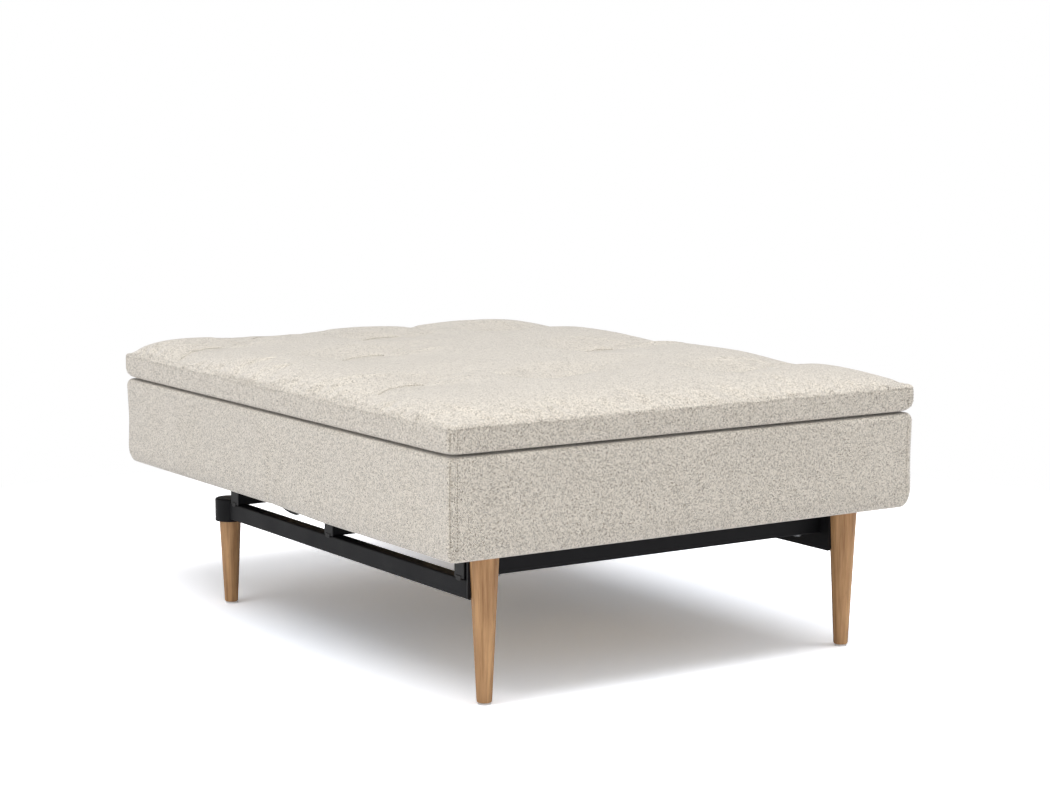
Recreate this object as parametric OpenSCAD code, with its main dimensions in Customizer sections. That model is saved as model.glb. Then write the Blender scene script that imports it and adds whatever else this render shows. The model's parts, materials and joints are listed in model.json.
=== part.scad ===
/* [Bed] */
// Width across the mattress box
bed_w = 900; // [820:10:1200]
// Length from front to rear with the back lying flat
bed_l = 1150; // [1080:10:1300]
// Length of the seat, from the front to the fold
seat_l = 575; // [540:5:600]
// Height of the box's underside above the floor
box_z = 240; // [220:5:300]
// Thickness of the mattress box
box_t = 160; // [150:2:190]
// Thickness of the topper at its edge
topper_t = 40; // [30:1:50]
// How far the topper's crown stands above its edge
topper_crown = 33; // [10:1:40]

/* [Upholstery] */
// Plan radius of the box and topper corners
corner_r = 12; // [8:1:30]
// How far the box draws in at its top edge
box_top_inset = 14; // [6:1:18]
// Height over which the box's top edge rounds
box_top_round = 44; // [30:1:60]
// How far the box draws in at its underside
box_foot_inset = 16; // [8:1:20]
// Height over which the box's lower edge rounds
box_foot_round = 40; // [30:1:60]
// How far the topper draws in at its top and bottom edges
topper_inset = 14; // [6:1:18]
// Depth that a stitch pulls the topper down
tuft_depth = 19; // [4:1:22]
// Half length of a stitch line
tuft_half_l = 52; // [30:1:80]
// Reach of the dimple beyond a stitch line
tuft_reach = 88; // [50:1:120]
// Foam and cover round the spring cores
core_margin = 36; // [30:1:45]
// Width of the open fold between seat and back
fold_gap = 2; // [1:0.5:6]

/* [Base frame] */
// Distance of the leg centres in from the sides
leg_inset_x = 95.5; // [85:0.5:110]
// Distance of the front leg centres from the front
front_leg_inset = 59.4; // [50:0.1:75]
// Distance of the rear leg centres from the rear
rear_leg_inset = 225.9; // [200:0.1:240]
// Width of a side rail
rail_w = 25; // [22:1:34]
// Height of a side rail
rail_h = 30; // [24:0.5:36]
// Width of a crossbar, front to rear
crossbar_w = 28; // [27:1:34]
// Height of a crossbar
crossbar_h = 28.5; // [24:0.5:32]
// Wall of the rails, crossbars and frame tubes
tube_wall = 2; // [1.5:0.1:3]
// Gap between a front leg bracket and the front crossbar
bracket_gap = 12; // [9:0.5:16]
// Gap between a rear leg cup and the rear crossbar
cup_gap = 3; // [2:0.5:8]
// Distance of the middle crossbar's centre in front of the fold
middle_bar_back = 46; // [40:1:60]
// Length that a crossbar's cap laps down the rail
cap_tongue = 4; // [2:0.5:8]
// Thickness of the face of an end cap
cap_t = 2; // [1.5:0.1:3]

/* [Legs] */
// Diameter of a leg at its foot
leg_foot_d = 24; // [20:1:30]
// Diameter of a leg just under the box
leg_top_d = 47; // [42:0.5:50]
// Gap between a front leg's top and the box
leg_top_gap = 4; // [2:0.5:12]
// Thickness of a glide under a leg
glide_t = 3; // [2:0.5:6]
// Diameter of a glide
glide_d = 21; // [16:1:24]
// Outer radius of the leg brackets and cups
bracket_r = 26.5; // [25.5:0.1:28]
// Height of the rear leg cups
cup_h = 41; // [37:1:46]
// Distance that a cup hangs below the rails
cup_drop = 5; // [0:0.5:8]
// Distance of a front bracket's lower edge above the rails' underside
bracket_lift = 8; // [0:0.5:10]
// Distance of a front bracket's open edge behind the leg's centre
bracket_open = 5; // [0:0.5:8]
// Thickness of a cup's closed top
cup_top_t = 3; // [2:0.5:5]

/* [Slat frames] */
// Width of a frame tube
tube_w = 25; // [20:1:26]
// Height of a frame tube
tube_h = 20; // [18:0.5:24]
// Thickness of the rubber pads under the frames
pad_t = 3; // [2:0.5:5]
// Distance from the seat's side tubes' rear ends to the fold
seat_tube_back = 6; // [2:1:12]
// Distance from the fold to the back frame's front tube
back_tube_front = 50; // [40:1:60]
// Distance of the back frame's rear tube in from the rear
back_tube_rear = 45; // [30:1:80]
// Slats in the seat
seat_slat_count = 5; // [4:1:5]
// Slats in the back
back_slat_count = 5; // [4:1:5]
// Share of its place in the seat that a slat fills
seat_slat_share = 0.763; // [0.55:0.001:0.8]
// Share of its place in the back that a slat fills
back_slat_share = 0.698; // [0.55:0.001:0.8]
// Thickness of a slat
slat_t = 8; // [6:0.5:9]
// How far a slat bows upward at its middle
slat_rise = 5; // [2:0.5:6]

/* [Hinge] */
// Distance of the pivot behind the fold
pivot_back = 140; // [134:1:142]
// Depth of the pivot below the top of the box
pivot_drop = 30; // [29:1:34]
// Thickness of the hinge plates and back arms
plate_t = 5; // [4:0.5:6]
// Radius of the pivot pin
pin_r = 6; // [5:0.5:8]
// Radius of the plates' heads round the pivot
head_r = 24; // [18:1:25]
// Thickness of the washer between plate and arm
washer_t = 1; // [0.6:0.1:2]
// Radius of the toothed edge of a back arm
sector_r = 50; // [46:1:52]
// Radius of the pawl's tip
pawl_tip_r = 4; // [3:0.5:5]
// Angle from one locked position to the next
click_step = 35; // [30:1:36]
// Radius of the lower edge of a hinge plate's lobe
lobe_r = 160; // [120:1:200]

/* [Hidden] */
$fn = 64;

// Clearances and overruns
soft_gap = 0.3;
seat_fit = 0.3;
run_fit = 0.05;
hole_fit = 0.2;
side_gap = 1.5;
over = 1;

// Frame of reference: origin under the middle, front towards -Y
half_w = bed_w / 2;
front_y = -bed_l / 2;
rear_y = bed_l / 2;
fold_y = front_y + seat_l;
box_top = box_z + box_t;

// Heights, from the box down to the rails
frame_top = box_z - soft_gap;
frame_z = frame_top - tube_h;
crossbar_top = frame_z - pad_t;
crossbar_z = crossbar_top - crossbar_h;
rail_z = crossbar_z - rail_h;

// Places of the legs, rails and crossbars
leg_x = half_w - leg_inset_x;
front_leg_y = front_y + front_leg_inset;
rear_leg_y = rear_y - rear_leg_inset;
rail_out = leg_x + rail_w / 2;
rail_front = front_leg_y + bracket_r - tube_wall / 2;
rail_rear = rear_leg_y - bracket_r + tube_wall / 2;
front_bar_y = front_leg_y + bracket_r + bracket_gap + crossbar_w / 2;
rear_bar_y = rear_leg_y - bracket_r - cup_gap - crossbar_w / 2;
middle_bar_y = fold_y - middle_bar_back;
leg_top_z = box_z - leg_top_gap;
bracket_z = rail_z + bracket_lift;
bracket_under = 2;
bracket_h = leg_top_z - bracket_under - bracket_z;
cup_z = rail_z - cup_drop;
cup_seat_z = cup_z + cup_h - cup_top_t;

// Fasteners
bolt_r = 4;
bolt_head_r = 7;
bolt_head_t = 4.5;
front_bolt_turn = 90;
rear_bolt_turn = 225;
front_bolt_z = crossbar_z + crossbar_h / 2;
rear_bolt_z = cup_z + cup_h / 2;
leg_bolt_grip = 12;
mount_inset = 42;
mount_bolt_x = rail_out - rail_w - mount_inset;
pad_l = 30;
insert_depth = 12;

// Seat and back slat frames
seat_out = rail_out;
seat_in = seat_out - tube_w;
seat_tube_y0 = front_bar_y - crossbar_w / 2;
seat_tube_y1 = fold_y - seat_tube_back;
seat_rear_tube_y = middle_bar_y - tube_w / 2;
back_out = seat_out - washer_t - plate_t;
back_in = back_out - tube_w;
back_tube_y0 = fold_y + back_tube_front;
back_tube_y1 = rear_y - back_tube_rear;
holder_d = 16;
holder_wall = 4;
holder_over_w = 8;
holder_lift = 1;
slat_lift = 3.5;
slat_steps = 12;

// Hinge: plates on the seat, arms on the back, one pawl to a side
pivot_y = fold_y + pivot_back;
pivot_z = box_top - pivot_drop;
fold_r = pivot_back - fold_gap / 2;
fold_reach = 72;
plate_x = seat_out;
arm_x = back_out;
nut_t = 4;
nut_r = 10;
pin_head_r = 11;
pin_head_t = 3.5;
washer_r = 12;
slot_x0 = arm_x - nut_t - side_gap;
slot_x1 = plate_x + plate_t + pin_head_t + side_gap;
slot_top = pivot_z + head_r + side_gap;
lobe_fwd = 72;
lobe_y = pivot_y - lobe_fwd;
lobe_drop = 13;
lobe_z = frame_z - lobe_drop;
lobe_front = 10;
lobe_rear = 110;
post_fwd = 17;
post_y = pivot_y - post_fwd;
post_half = 36;
foot_fwd = 37;
foot_front = middle_bar_y - crossbar_w / 2 - foot_fwd;
foot_lift = 2;
plate_bolt_front = 24;
plate_bolt_rear = 8;
arm_foot_back = 35;
arm_foot_l = 75;
arm_bolt_front = 33;
arm_bolt_rear = 10;
arm_foot_y0 = pivot_y + arm_foot_back;
arm_foot_y1 = arm_foot_y0 + arm_foot_l;
arm_bolt_y0 = arm_foot_y0 + arm_bolt_front;
arm_bolt_y1 = arm_foot_y1 - arm_bolt_rear;
slot_rear = arm_foot_y1 + 3 * side_gap;
sector_a0 = 168;
sector_a1 = 330;
clicks = 3;

// The lobe stays below what the back's front end sweeps when it stands upright
open_a = (clicks - 1) * click_step;
slot_edge = slot_top - pivot_z;
sweep_l = sqrt(fold_r * fold_r - slot_edge * slot_edge);
sweep_z = pivot_z + slot_edge * cos(open_a) - sweep_l * sin(open_a);
lobe_h = sweep_z - 2 * side_gap - lobe_z;

// Pawl: its pin sits below the pivot, its tip meets the toothed edge
pawl_pin_fwd = 12;
pawl_pin_drop = 41;
pawl_over = 2.2;
pawl_pin_y = pivot_y - pawl_pin_fwd;
pawl_pin_z = pivot_z - sector_r - pawl_pin_drop;
pawl_pin_r = 4;
pawl_eye_r = 9;
pawl_gap = 0.5;
pawl_bite = 5.5;
pawl_l = norm([pawl_pin_fwd, sector_r + pawl_pin_drop]) - sector_r + pawl_over;
pawl_d = norm([pawl_pin_y - pivot_y, pawl_pin_z - pivot_z]);
tip_free_r = sector_r + pawl_tip_r + pawl_gap;
pawl_line_a = atan2(pivot_z - pawl_pin_z, pivot_y - pawl_pin_y);
function pawl_lean(r) = acos((pawl_l * pawl_l + pawl_d * pawl_d - r * r) / (2 * pawl_l * pawl_d));
function pawl_tip(r) =
  let (a = pawl_line_a + pawl_lean(r))
  [pawl_pin_y + pawl_l * cos(a), pawl_pin_z + pawl_l * sin(a)];
tip_free = pawl_tip(tip_free_r);
tip_home = pawl_tip(tip_free_r - pawl_bite);
stop_r = 3;
notch_gap = 1;

// Tufts: each stitch's middle as shares of the half width and half length
tuft_shares = [
  [-0.79, -0.48], [-0.12, -0.50], [0.55, -0.48],
  [-0.97, 0.07], [-0.33, 0.12], [0.55, 0.05],
  [-0.78, 0.71], [-0.10, 0.68], [0.61, 0.66]
];
crown_power = 6;
edge_steps = 4;
box_cells = 9;
topper_cells_x = 24;
topper_cells_y = 15;

steel = [0.06, 0.06, 0.065];
zinc = [0.55, 0.56, 0.58];
oak = [0.78, 0.58, 0.38];
birch = [0.86, 0.74, 0.55];
rubber = [0.08, 0.08, 0.08];
felt = [0.86, 0.84, 0.80];
foam = [0.93, 0.90, 0.80];
cloth = [0.80, 0.78, 0.72];
pale_cloth = [0.84, 0.82, 0.77];

// Extrudes a shape drawn in Y and Z along +X, from x0
module along_x(x0, t) {
  translate([x0, 0, 0])
    rotate([90, 0, 90])
      linear_extrude(t)
        children();
}

// Draws its child once on the right and once on the left
module both_sides() {
  children();
  mirror([1, 0, 0])
    children();
}

module left() {
  mirror([1, 0, 0])
    children();
}

// Rectangular tube along X, between two places
module tube_x(x0, x1, y0, z0, w, h) {
  translate([x0, y0, z0])
    difference() {
      cube([x1 - x0, w, h]);
      translate([-over, tube_wall, tube_wall])
        cube([x1 - x0 + 2 * over, w - 2 * tube_wall, h - 2 * tube_wall]);
    }
}

// Rectangular tube along Y, between two places
module tube_y(x0, y0, y1, z0, w, h) {
  translate([x0, y0, z0])
    difference() {
      cube([w, y1 - y0, h]);
      translate([tube_wall, -over, tube_wall])
        cube([w - 2 * tube_wall, y1 - y0 + 2 * over, h - 2 * tube_wall]);
    }
}

// Base frame

module side_rail() {
  tube_y(rail_out - rail_w, rail_front, rail_rear, rail_z, rail_w, rail_h);
}

module crossbar(y) {
  end = rail_out - cap_t;
  tube_x(-end, end, y - crossbar_w / 2, crossbar_z, crossbar_w, crossbar_h);
}

// A crossbar with the holes of the bolts that hold the seat frame
module bolted_crossbar(y) {
  difference() {
    crossbar(y);
    both_sides()
      translate([mount_bolt_x, y, crossbar_z - over])
        cylinder(h = crossbar_h + 2 * over, r = bolt_r + hole_fit);
  }
}

// Cap of one crossbar end, with a tongue that laps down the rail's side
module end_cap(y) {
  plug = 3 * tube_wall;
  inner_w = crossbar_w - 2 * (tube_wall + hole_fit);
  inner_h = crossbar_h - 2 * (tube_wall + hole_fit);
  tongue_w = crossbar_w / 2;
  translate([rail_out - cap_t, y - crossbar_w / 2, crossbar_z])
    cube([cap_t, crossbar_w, crossbar_h]);
  translate([rail_out - cap_t - plug, y - inner_w / 2, crossbar_z + tube_wall + hole_fit])
    cube([plug, inner_w, inner_h]);
  along_x(rail_out, cap_t) {
    translate([y - tongue_w / 2, crossbar_z])
      square([tongue_w, cap_tongue]);
    intersection() {
      translate([y, crossbar_z + tongue_w - cap_tongue])
        circle(r = tongue_w);
      translate([y - tongue_w / 2, crossbar_z - cap_tongue])
        square([tongue_w, 2 * cap_tongue]);
    }
  }
}

module crossbar_end_caps() {
  color(rubber)
    both_sides()
      for (y = [front_bar_y, middle_bar_y, rear_bar_y])
        end_cap(y);
}

// Legs

function leg_r(z) = (leg_foot_d + (leg_top_d - leg_foot_d) * (z - glide_t) / (leg_top_z - glide_t)) / 2;

// Tapered round leg with a small chamfer at each end
module leg_body(top_z, grow) {
  chamfer = glide_t / 2;
  rotate_extrude()
    polygon([
      [0, glide_t],
      [leg_r(glide_t) - chamfer, glide_t],
      [leg_r(glide_t + chamfer) + grow, glide_t + chamfer],
      [leg_r(top_z - chamfer) + grow, top_z - chamfer],
      [leg_r(top_z) - chamfer + grow, top_z],
      [0, top_z]
    ]);
}

// The leg's taper with the clearance of its seat, run past both ends of a bracket
module leg_seat(z0, h) {
  low = z0 - over;
  high = z0 + h + over;
  translate([0, 0, low])
    cylinder(h = high - low, r1 = leg_r(low) + seat_fit, r2 = leg_r(high) + seat_fit);
}

// Hole for a leg's bolt, from outside the bracket into the leg
module leg_bolt_hole(turn, bolt_z) {
  rotate([0, 0, turn])
    translate([0, 0, bolt_z])
      rotate([0, 90, 0])
        translate([0, 0, bracket_r - leg_bolt_grip - over])
          cylinder(h = leg_bolt_grip + 2 * over, r = bolt_r + hole_fit);
}

module leg(y, top_z, turn, bolt_z) {
  color(oak)
    translate([leg_x, y, 0])
      difference() {
        leg_body(top_z, 0);
        leg_bolt_hole(turn, bolt_z);
      }
}

// Saddle behind a front leg, open to the front and square on its inner side
module leg_bracket() {
  color(steel)
    translate([leg_x, front_leg_y, 0])
      difference() {
        translate([0, 0, bracket_z]) {
          cylinder(h = bracket_h, r = bracket_r);
          translate([-bracket_r, 0, 0])
            cube([bracket_r, bracket_r, bracket_h]);
        }
        leg_seat(bracket_z, bracket_h);
        leg_bolt_hole(front_bolt_turn, front_bolt_z);
        translate([-bracket_r - over, -bracket_r - over, bracket_z - over])
          cube([2 * (bracket_r + over), bracket_r + over + bracket_open, bracket_h + 2 * over]);
        rail_end_cut(-1);
      }
}

// Flat on a bracket or cup where the rail's end meets it
module rail_end_cut(toward) {
  depth = tube_wall / 2;
  translate([-rail_w / 2, toward > 0 ? -bracket_r - over : bracket_r - depth, rail_z - over])
    cube([rail_w, depth + over, rail_h + over]);
}

// Closed round cup over a rear leg's top
module leg_cup() {
  color(steel)
    translate([leg_x, rear_leg_y, 0])
      difference() {
        translate([0, 0, cup_z])
          cylinder(h = cup_h, r = bracket_r);
        intersection() {
          leg_seat(cup_z, cup_h);
          translate([0, 0, cup_z - 2 * over])
            cylinder(h = cup_seat_z - cup_z + 2 * over, r = bracket_r);
        }
        leg_bolt_hole(rear_bolt_turn, rear_bolt_z);
        rail_end_cut(1);
      }
}

module leg_glides() {
  color(felt)
    both_sides()
      for (y = [front_leg_y, rear_leg_y])
        translate([leg_x, y, 0])
          cylinder(h = glide_t, r = glide_d / 2);
}

module leg_bolt(y, turn, bolt_z) {
  translate([leg_x, y, 0])
    rotate([0, 0, turn])
      translate([0, 0, bolt_z])
        rotate([0, 90, 0]) {
          translate([0, 0, bracket_r - leg_bolt_grip])
            cylinder(h = leg_bolt_grip + over, r = bolt_r);
          translate([0, 0, bracket_r])
            cylinder(h = bolt_head_t, r = bolt_head_r);
        }
}

module leg_bolts() {
  color(steel)
    both_sides() {
      leg_bolt(front_leg_y, front_bolt_turn, front_bolt_z);
      leg_bolt(rear_leg_y, rear_bolt_turn, rear_bolt_z);
    }
}

// Seat mounting: pads on the crossbars and bolts up through them

module mount_places() {
  both_sides()
    for (y = [front_bar_y, middle_bar_y])
      translate([mount_bolt_x, y, 0])
        children();
}

module seat_mount_pads() {
  color(rubber)
    mount_places()
      difference() {
        translate([-pad_l / 2, -tube_w / 2, crossbar_top])
          cube([pad_l, tube_w, pad_t]);
        translate([0, 0, crossbar_top - over])
          cylinder(h = pad_t + 2 * over, r = bolt_r + hole_fit);
      }
}

module seat_frame_bolts() {
  color(zinc)
    mount_places() {
      translate([0, 0, crossbar_z - bolt_head_t])
        cylinder(h = bolt_head_t, r = bolt_head_r);
      translate([0, 0, crossbar_z - over])
        cylinder(h = crossbar_h + pad_t + insert_depth + over, r = bolt_r);
    }
}

module back_stop_pads() {
  color(rubber)
    both_sides()
      translate([back_in, rear_bar_y - pad_l / 2, crossbar_top])
        cube([tube_w, pad_l, pad_t - soft_gap]);
}

// Seat frame

module hinge_bolt_places() {
  for (y = [foot_front + plate_bolt_front, seat_tube_y1 - plate_bolt_rear])
    translate([0, y, frame_z + tube_h / 2])
      rotate([0, 90, 0])
        children();
}

module seat_side_tube() {
  color(steel)
    difference() {
      tube_y(seat_in, seat_tube_y0, seat_tube_y1, frame_z, tube_w, tube_h);
      hinge_bolt_places()
        translate([0, 0, seat_out - 2 * tube_wall])
          cylinder(h = 2 * tube_wall + over, r = bolt_r + hole_fit);
    }
}

module seat_cross_tube(y) {
  color(steel)
    difference() {
      tube_x(-seat_in, seat_in, y - tube_w / 2, frame_z, tube_w, tube_h);
      both_sides()
        translate([mount_bolt_x, y, frame_z - over])
          cylinder(h = 2 * tube_wall + over, r = bolt_r + hole_fit);
    }
}

// Sprung slats: bowed boards whose ends sit in plastic holders

function slat_bow(x, half_l) = slat_rise * (1 - (x / half_l) * (x / half_l));

module slat(half_l, y, w) {
  low_z = frame_z + slat_lift;
  xs = [for (i = [0:slat_steps]) half_l * (2 * i / slat_steps - 1)];
  translate([0, y + w / 2, 0])
    rotate([90, 0, 0])
      linear_extrude(w)
        polygon(concat(
          [for (x = xs) [x, low_z + slat_bow(x, half_l)]],
          [for (i = [slat_steps:-1:0]) [xs[i], low_z + slat_t + slat_bow(xs[i], half_l)]]
        ));
}

module slat_holder(inner_x, y, slat_w) {
  w = slat_w + holder_over_w;
  difference() {
    translate([inner_x - holder_d, y - w / 2, frame_z + holder_lift])
      cube([holder_d, w, tube_h - 2 * holder_lift]);
    translate([inner_x - holder_d - over, y - slat_w / 2 - seat_fit, frame_z + slat_lift - seat_fit])
      cube([holder_d - holder_wall + over, slat_w + 2 * seat_fit, slat_t + 3 * seat_fit]);
  }
}

// Evenly spaced places between two cross tubes
function slat_places(y0, y1, n) = [for (i = [1:n]) y0 + (y1 - y0) * (i - 1 / 2) / n];

seat_slat_y0 = front_bar_y + tube_w / 2;
seat_slat_y1 = middle_bar_y - tube_w / 2;
back_slat_y0 = back_tube_y0 + tube_w;
back_slat_y1 = back_tube_y1 - tube_w;
seat_slat_y = slat_places(seat_slat_y0, seat_slat_y1, seat_slat_count);
back_slat_y = slat_places(back_slat_y0, back_slat_y1, back_slat_count);

// A slat fills most of its place and leaves the rest as a gap
seat_slat_w = (seat_slat_y1 - seat_slat_y0) / seat_slat_count * seat_slat_share;
back_slat_w = (back_slat_y1 - back_slat_y0) / back_slat_count * back_slat_share;

module slats(inner_x, places, w) {
  color(birch)
    for (y = places)
      slat(inner_x - holder_wall - seat_fit, y, w);
}

module slat_holders(inner_x, places, w) {
  color(rubber)
    both_sides()
      for (y = places)
        slat_holder(inner_x, y, w);
}

// Back frame

module arm_bolt_places() {
  for (y = [arm_bolt_y0, arm_bolt_y1])
    translate([0, y, frame_z + tube_h / 2])
      rotate([0, 90, 0])
        children();
}

module back_side_tube() {
  color(steel)
    difference() {
      tube_y(back_in, back_tube_y0, back_tube_y1, frame_z, tube_w, tube_h);
      arm_bolt_places()
        translate([0, 0, back_out - 2 * tube_wall])
          cylinder(h = 2 * tube_wall + over, r = bolt_r + hole_fit);
    }
}

module back_cross_tube(y0) {
  color(steel)
    tube_x(-back_in, back_in, y0, frame_z, tube_w, tube_h);
}

// Hinge

module pivot_place() {
  translate([pivot_y, pivot_z])
    children();
}

// Fixed plate: a foot on the seat tube, a rounded lobe, and a post up to the pivot
module hinge_plate_outline() {
  translate([foot_front, frame_z + foot_lift])
    square([lobe_y - foot_front, frame_top - frame_z - foot_lift]);
  intersection() {
    translate([lobe_y, lobe_z + lobe_r])
      circle(r = lobe_r, $fn = 160);
    translate([lobe_y - lobe_front, lobe_z - over])
      square([lobe_front + lobe_rear, lobe_h + over]);
  }
  hull() {
    translate([post_y - post_half, lobe_z + lobe_h / 2])
      square([2 * post_half, lobe_h / 2]);
    pivot_place()
      circle(r = head_r, $fn = 32);
  }
}

module hinge_plate() {
  mid = (pawl_tip(tip_free_r) + [pawl_pin_y, pawl_pin_z]) / 2;
  lean = pawl_line_a + pawl_lean(tip_free_r) + 90;
  stop_out = (pawl_eye_r + pawl_tip_r) / 2 + stop_r + seat_fit;
  color(steel) {
    difference() {
      along_x(plate_x, plate_t)
        hinge_plate_outline();
      translate([plate_x - over, pivot_y, pivot_z])
        rotate([0, 90, 0])
          cylinder(h = plate_t + 2 * over, r = pin_r);
      translate([plate_x - over, pawl_pin_y, pawl_pin_z])
        rotate([0, 90, 0])
          cylinder(h = plate_t + 2 * over, r = pawl_pin_r);
      hinge_bolt_places()
        translate([0, 0, plate_x - over])
          cylinder(h = plate_t + 2 * over, r = bolt_r + hole_fit);
    }
    translate([arm_x, mid[0] + stop_out * cos(lean), mid[1] + stop_out * sin(lean)])
      rotate([0, 90, 0])
        cylinder(h = plate_x - arm_x, r = stop_r);
  }
}

// Toothed edge of a back arm, notched at each locked position
module sector() {
  difference() {
    pivot_place()
      intersection() {
        circle(r = sector_r, $fn = 96);
        polygon(concat([[0, 0]], [for (i = [0:4])
          let (a = sector_a0 + (sector_a1 - sector_a0) * i / 4)
          [2 * sector_r * cos(a), 2 * sector_r * sin(a)]]));
      }
    for (i = [0:clicks - 1])
      pivot_place()
        rotate(-i * click_step)
          translate([-pivot_y, -pivot_z])
            hull() {
              translate(tip_free)
                circle(r = pawl_tip_r + notch_gap, $fn = 32);
              translate(tip_home)
                circle(r = pawl_tip_r + notch_gap, $fn = 32);
            }
  }
}

module back_arm() {
  color(steel)
    difference() {
      along_x(arm_x, plate_t) {
        sector();
        hull() {
          pivot_place()
            circle(r = head_r, $fn = 32);
          translate([arm_foot_y0, frame_z + foot_lift])
            square([arm_foot_y1 - arm_foot_y0, frame_top - frame_z - foot_lift]);
        }
      }
      translate([arm_x - over, pivot_y, pivot_z])
        rotate([0, 90, 0])
          cylinder(h = plate_t + 2 * over, r = pin_r + run_fit);
      arm_bolt_places()
        translate([0, 0, arm_x - over])
          cylinder(h = plate_t + 2 * over, r = bolt_r + hole_fit);
    }
}

module pivot_pin() {
  color(zinc)
    translate([0, pivot_y, pivot_z])
      rotate([0, 90, 0]) {
        translate([0, 0, arm_x - nut_t])
          cylinder(h = plate_x + plate_t - arm_x + nut_t, r = pin_r);
        translate([0, 0, plate_x + plate_t])
          cylinder(h = pin_head_t, r = pin_head_r);
      }
}

module pivot_washers() {
  color(zinc)
    both_sides()
      translate([arm_x + plate_t, pivot_y, pivot_z])
        rotate([0, 90, 0])
          difference() {
            cylinder(h = washer_t, r = washer_r);
            translate([0, 0, -over])
              cylinder(h = washer_t + 2 * over, r = pin_r);
          }
}

module pivot_nuts() {
  color(zinc)
    both_sides()
      translate([arm_x - nut_t, pivot_y, pivot_z])
        rotate([0, 90, 0])
          difference() {
            cylinder(h = nut_t, r = nut_r, $fn = 6);
            translate([0, 0, -over])
              cylinder(h = nut_t + 2 * over, r = pin_r);
          }
}

module pawl() {
  color(zinc)
    along_x(arm_x, plate_t)
      difference() {
        hull() {
          translate([pawl_pin_y, pawl_pin_z])
            circle(r = pawl_eye_r, $fn = 32);
          translate(tip_free)
            circle(r = pawl_tip_r, $fn = 32);
        }
        translate([pawl_pin_y, pawl_pin_z])
          circle(r = pawl_pin_r + run_fit);
      }
}

module pawl_pins() {
  color(zinc)
    both_sides()
      translate([0, pawl_pin_y, pawl_pin_z])
        rotate([0, 90, 0]) {
          translate([0, 0, arm_x - washer_t])
            cylinder(h = plate_x + plate_t - arm_x + washer_t, r = pawl_pin_r);
          translate([0, 0, arm_x - 2 * washer_t])
            cylinder(h = washer_t, r = pawl_eye_r - washer_t);
        }
}

module hinge_plate_bolts() {
  color(zinc)
    both_sides()
      hinge_bolt_places() {
        translate([0, 0, plate_x - insert_depth])
          cylinder(h = insert_depth + plate_t, r = bolt_r);
        translate([0, 0, plate_x + plate_t])
          cylinder(h = bolt_head_t, r = bolt_head_r);
      }
}

module back_arm_bolts() {
  color(zinc)
    both_sides()
      arm_bolt_places() {
        translate([0, 0, arm_x - insert_depth])
          cylinder(h = insert_depth + plate_t, r = bolt_r);
        translate([0, 0, arm_x + plate_t])
          cylinder(h = bolt_head_t, r = bolt_head_r);
      }
}

// Upholstery

// Moves a point of a rectangle onto the same rectangle with rounded plan corners
function round_plan(x, y, hx, hy, r) =
  let (a = max(0, (abs(x) - hx + r) / r), b = max(0, (abs(y) - hy + r) / r))
  [
    sign(x) * (min(abs(x), hx - r) + r * a * cos(45 * b)),
    sign(y) * (min(abs(y), hy - r) + r * b * cos(45 * a))
  ];

// Places along one side: three in each corner's rounding, the rest evenly spread
function side_steps(h, r, n) = concat(
  [-h, -h + r / 2],
  [for (i = [0:n]) (h - r) * (2 * i / n - 1)],
  [h - r / 2, h]
);

// Index pairs round the border of a grid, counter-clockwise from its first corner
function border(nx, ny) = concat(
  [for (i = [0:nx - 1]) [i, 0]],
  [for (j = [0:ny - 1]) [nx, j]],
  [for (i = [nx:-1:1]) [i, ny]],
  [for (j = [ny:-1:1]) [0, j]]
);

// Rounding from a drawn-in edge to a full side, as [height, inset] pairs
function foot_round(z, rise, inset, n) =
  [for (k = [0:n]) [z + rise * (1 - cos(90 * k / n)), inset * (1 - sin(90 * k / n))]];
function top_round(z, drop, inset, n) =
  [for (k = [0:n]) [z - drop * (1 - sin(90 * k / n)), inset * (1 - cos(90 * k / n))]];

// Furthest forward that the back may reach at a height, so that it can swing
function fold_front(z) =
  z < pivot_z ? pivot_y - fold_r : pivot_y - sqrt(fold_r * fold_r - (z - pivot_z) * (z - pivot_z));

// Slants the front end of a back piece along the fold's arc
function fold_shift(y, z, y0) =
  y + max(0, 1 - (y - y0) / fold_reach) * (fold_front(z) - fold_front(pivot_z));

// Closed block whose sides follow a profile, flat above and below
module padded_block(y0, y1, profile, swings) {
  hy = (y1 - y0) / 2;
  mid = (y0 + y1) / 2;
  n = box_cells + 4;
  ring = border(n, n);
  count = len(ring);
  rows = len(profile);
  points = [for (p = profile)
    let (
      z = p[0],
      hx = half_w - p[1],
      h = hy - p[1],
      xs = side_steps(hx, corner_r, box_cells),
      ys = side_steps(h, corner_r, box_cells)
    )
    for (k = ring)
      let (q = round_plan(xs[k[0]], ys[k[1]], hx, h, corner_r))
      [q[0], swings ? fold_shift(mid + q[1], z, y0) : mid + q[1], z]];
  polyhedron(points, concat(
    [[for (i = [0:count - 1]) i]],
    [for (r = [0:rows - 2]) for (i = [0:count - 1])
      let (j = (i + 1) % count, a = r * count)
      [a + i, a + count + i, a + j]],
    [for (r = [0:rows - 2]) for (i = [0:count - 1])
      let (j = (i + 1) % count, a = r * count)
      [a + j, a + count + i, a + count + j]],
    [[for (i = [count - 1:-1:0]) (rows - 1) * count + i]]
  ));
}

box_profile = concat(
  foot_round(box_z, box_foot_round, box_foot_inset, edge_steps),
  top_round(box_top, box_top_round, box_top_inset, edge_steps)
);

seat_y1 = fold_y - fold_gap / 2;
back_y0 = fold_y + fold_gap / 2;

module seat_core() {
  color(foam)
    translate([-half_w + core_margin, front_y + core_margin, box_z + core_margin])
      cube([bed_w - 2 * core_margin, seat_y1 - front_y - 2 * core_margin, box_t - 2 * core_margin]);
}

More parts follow.
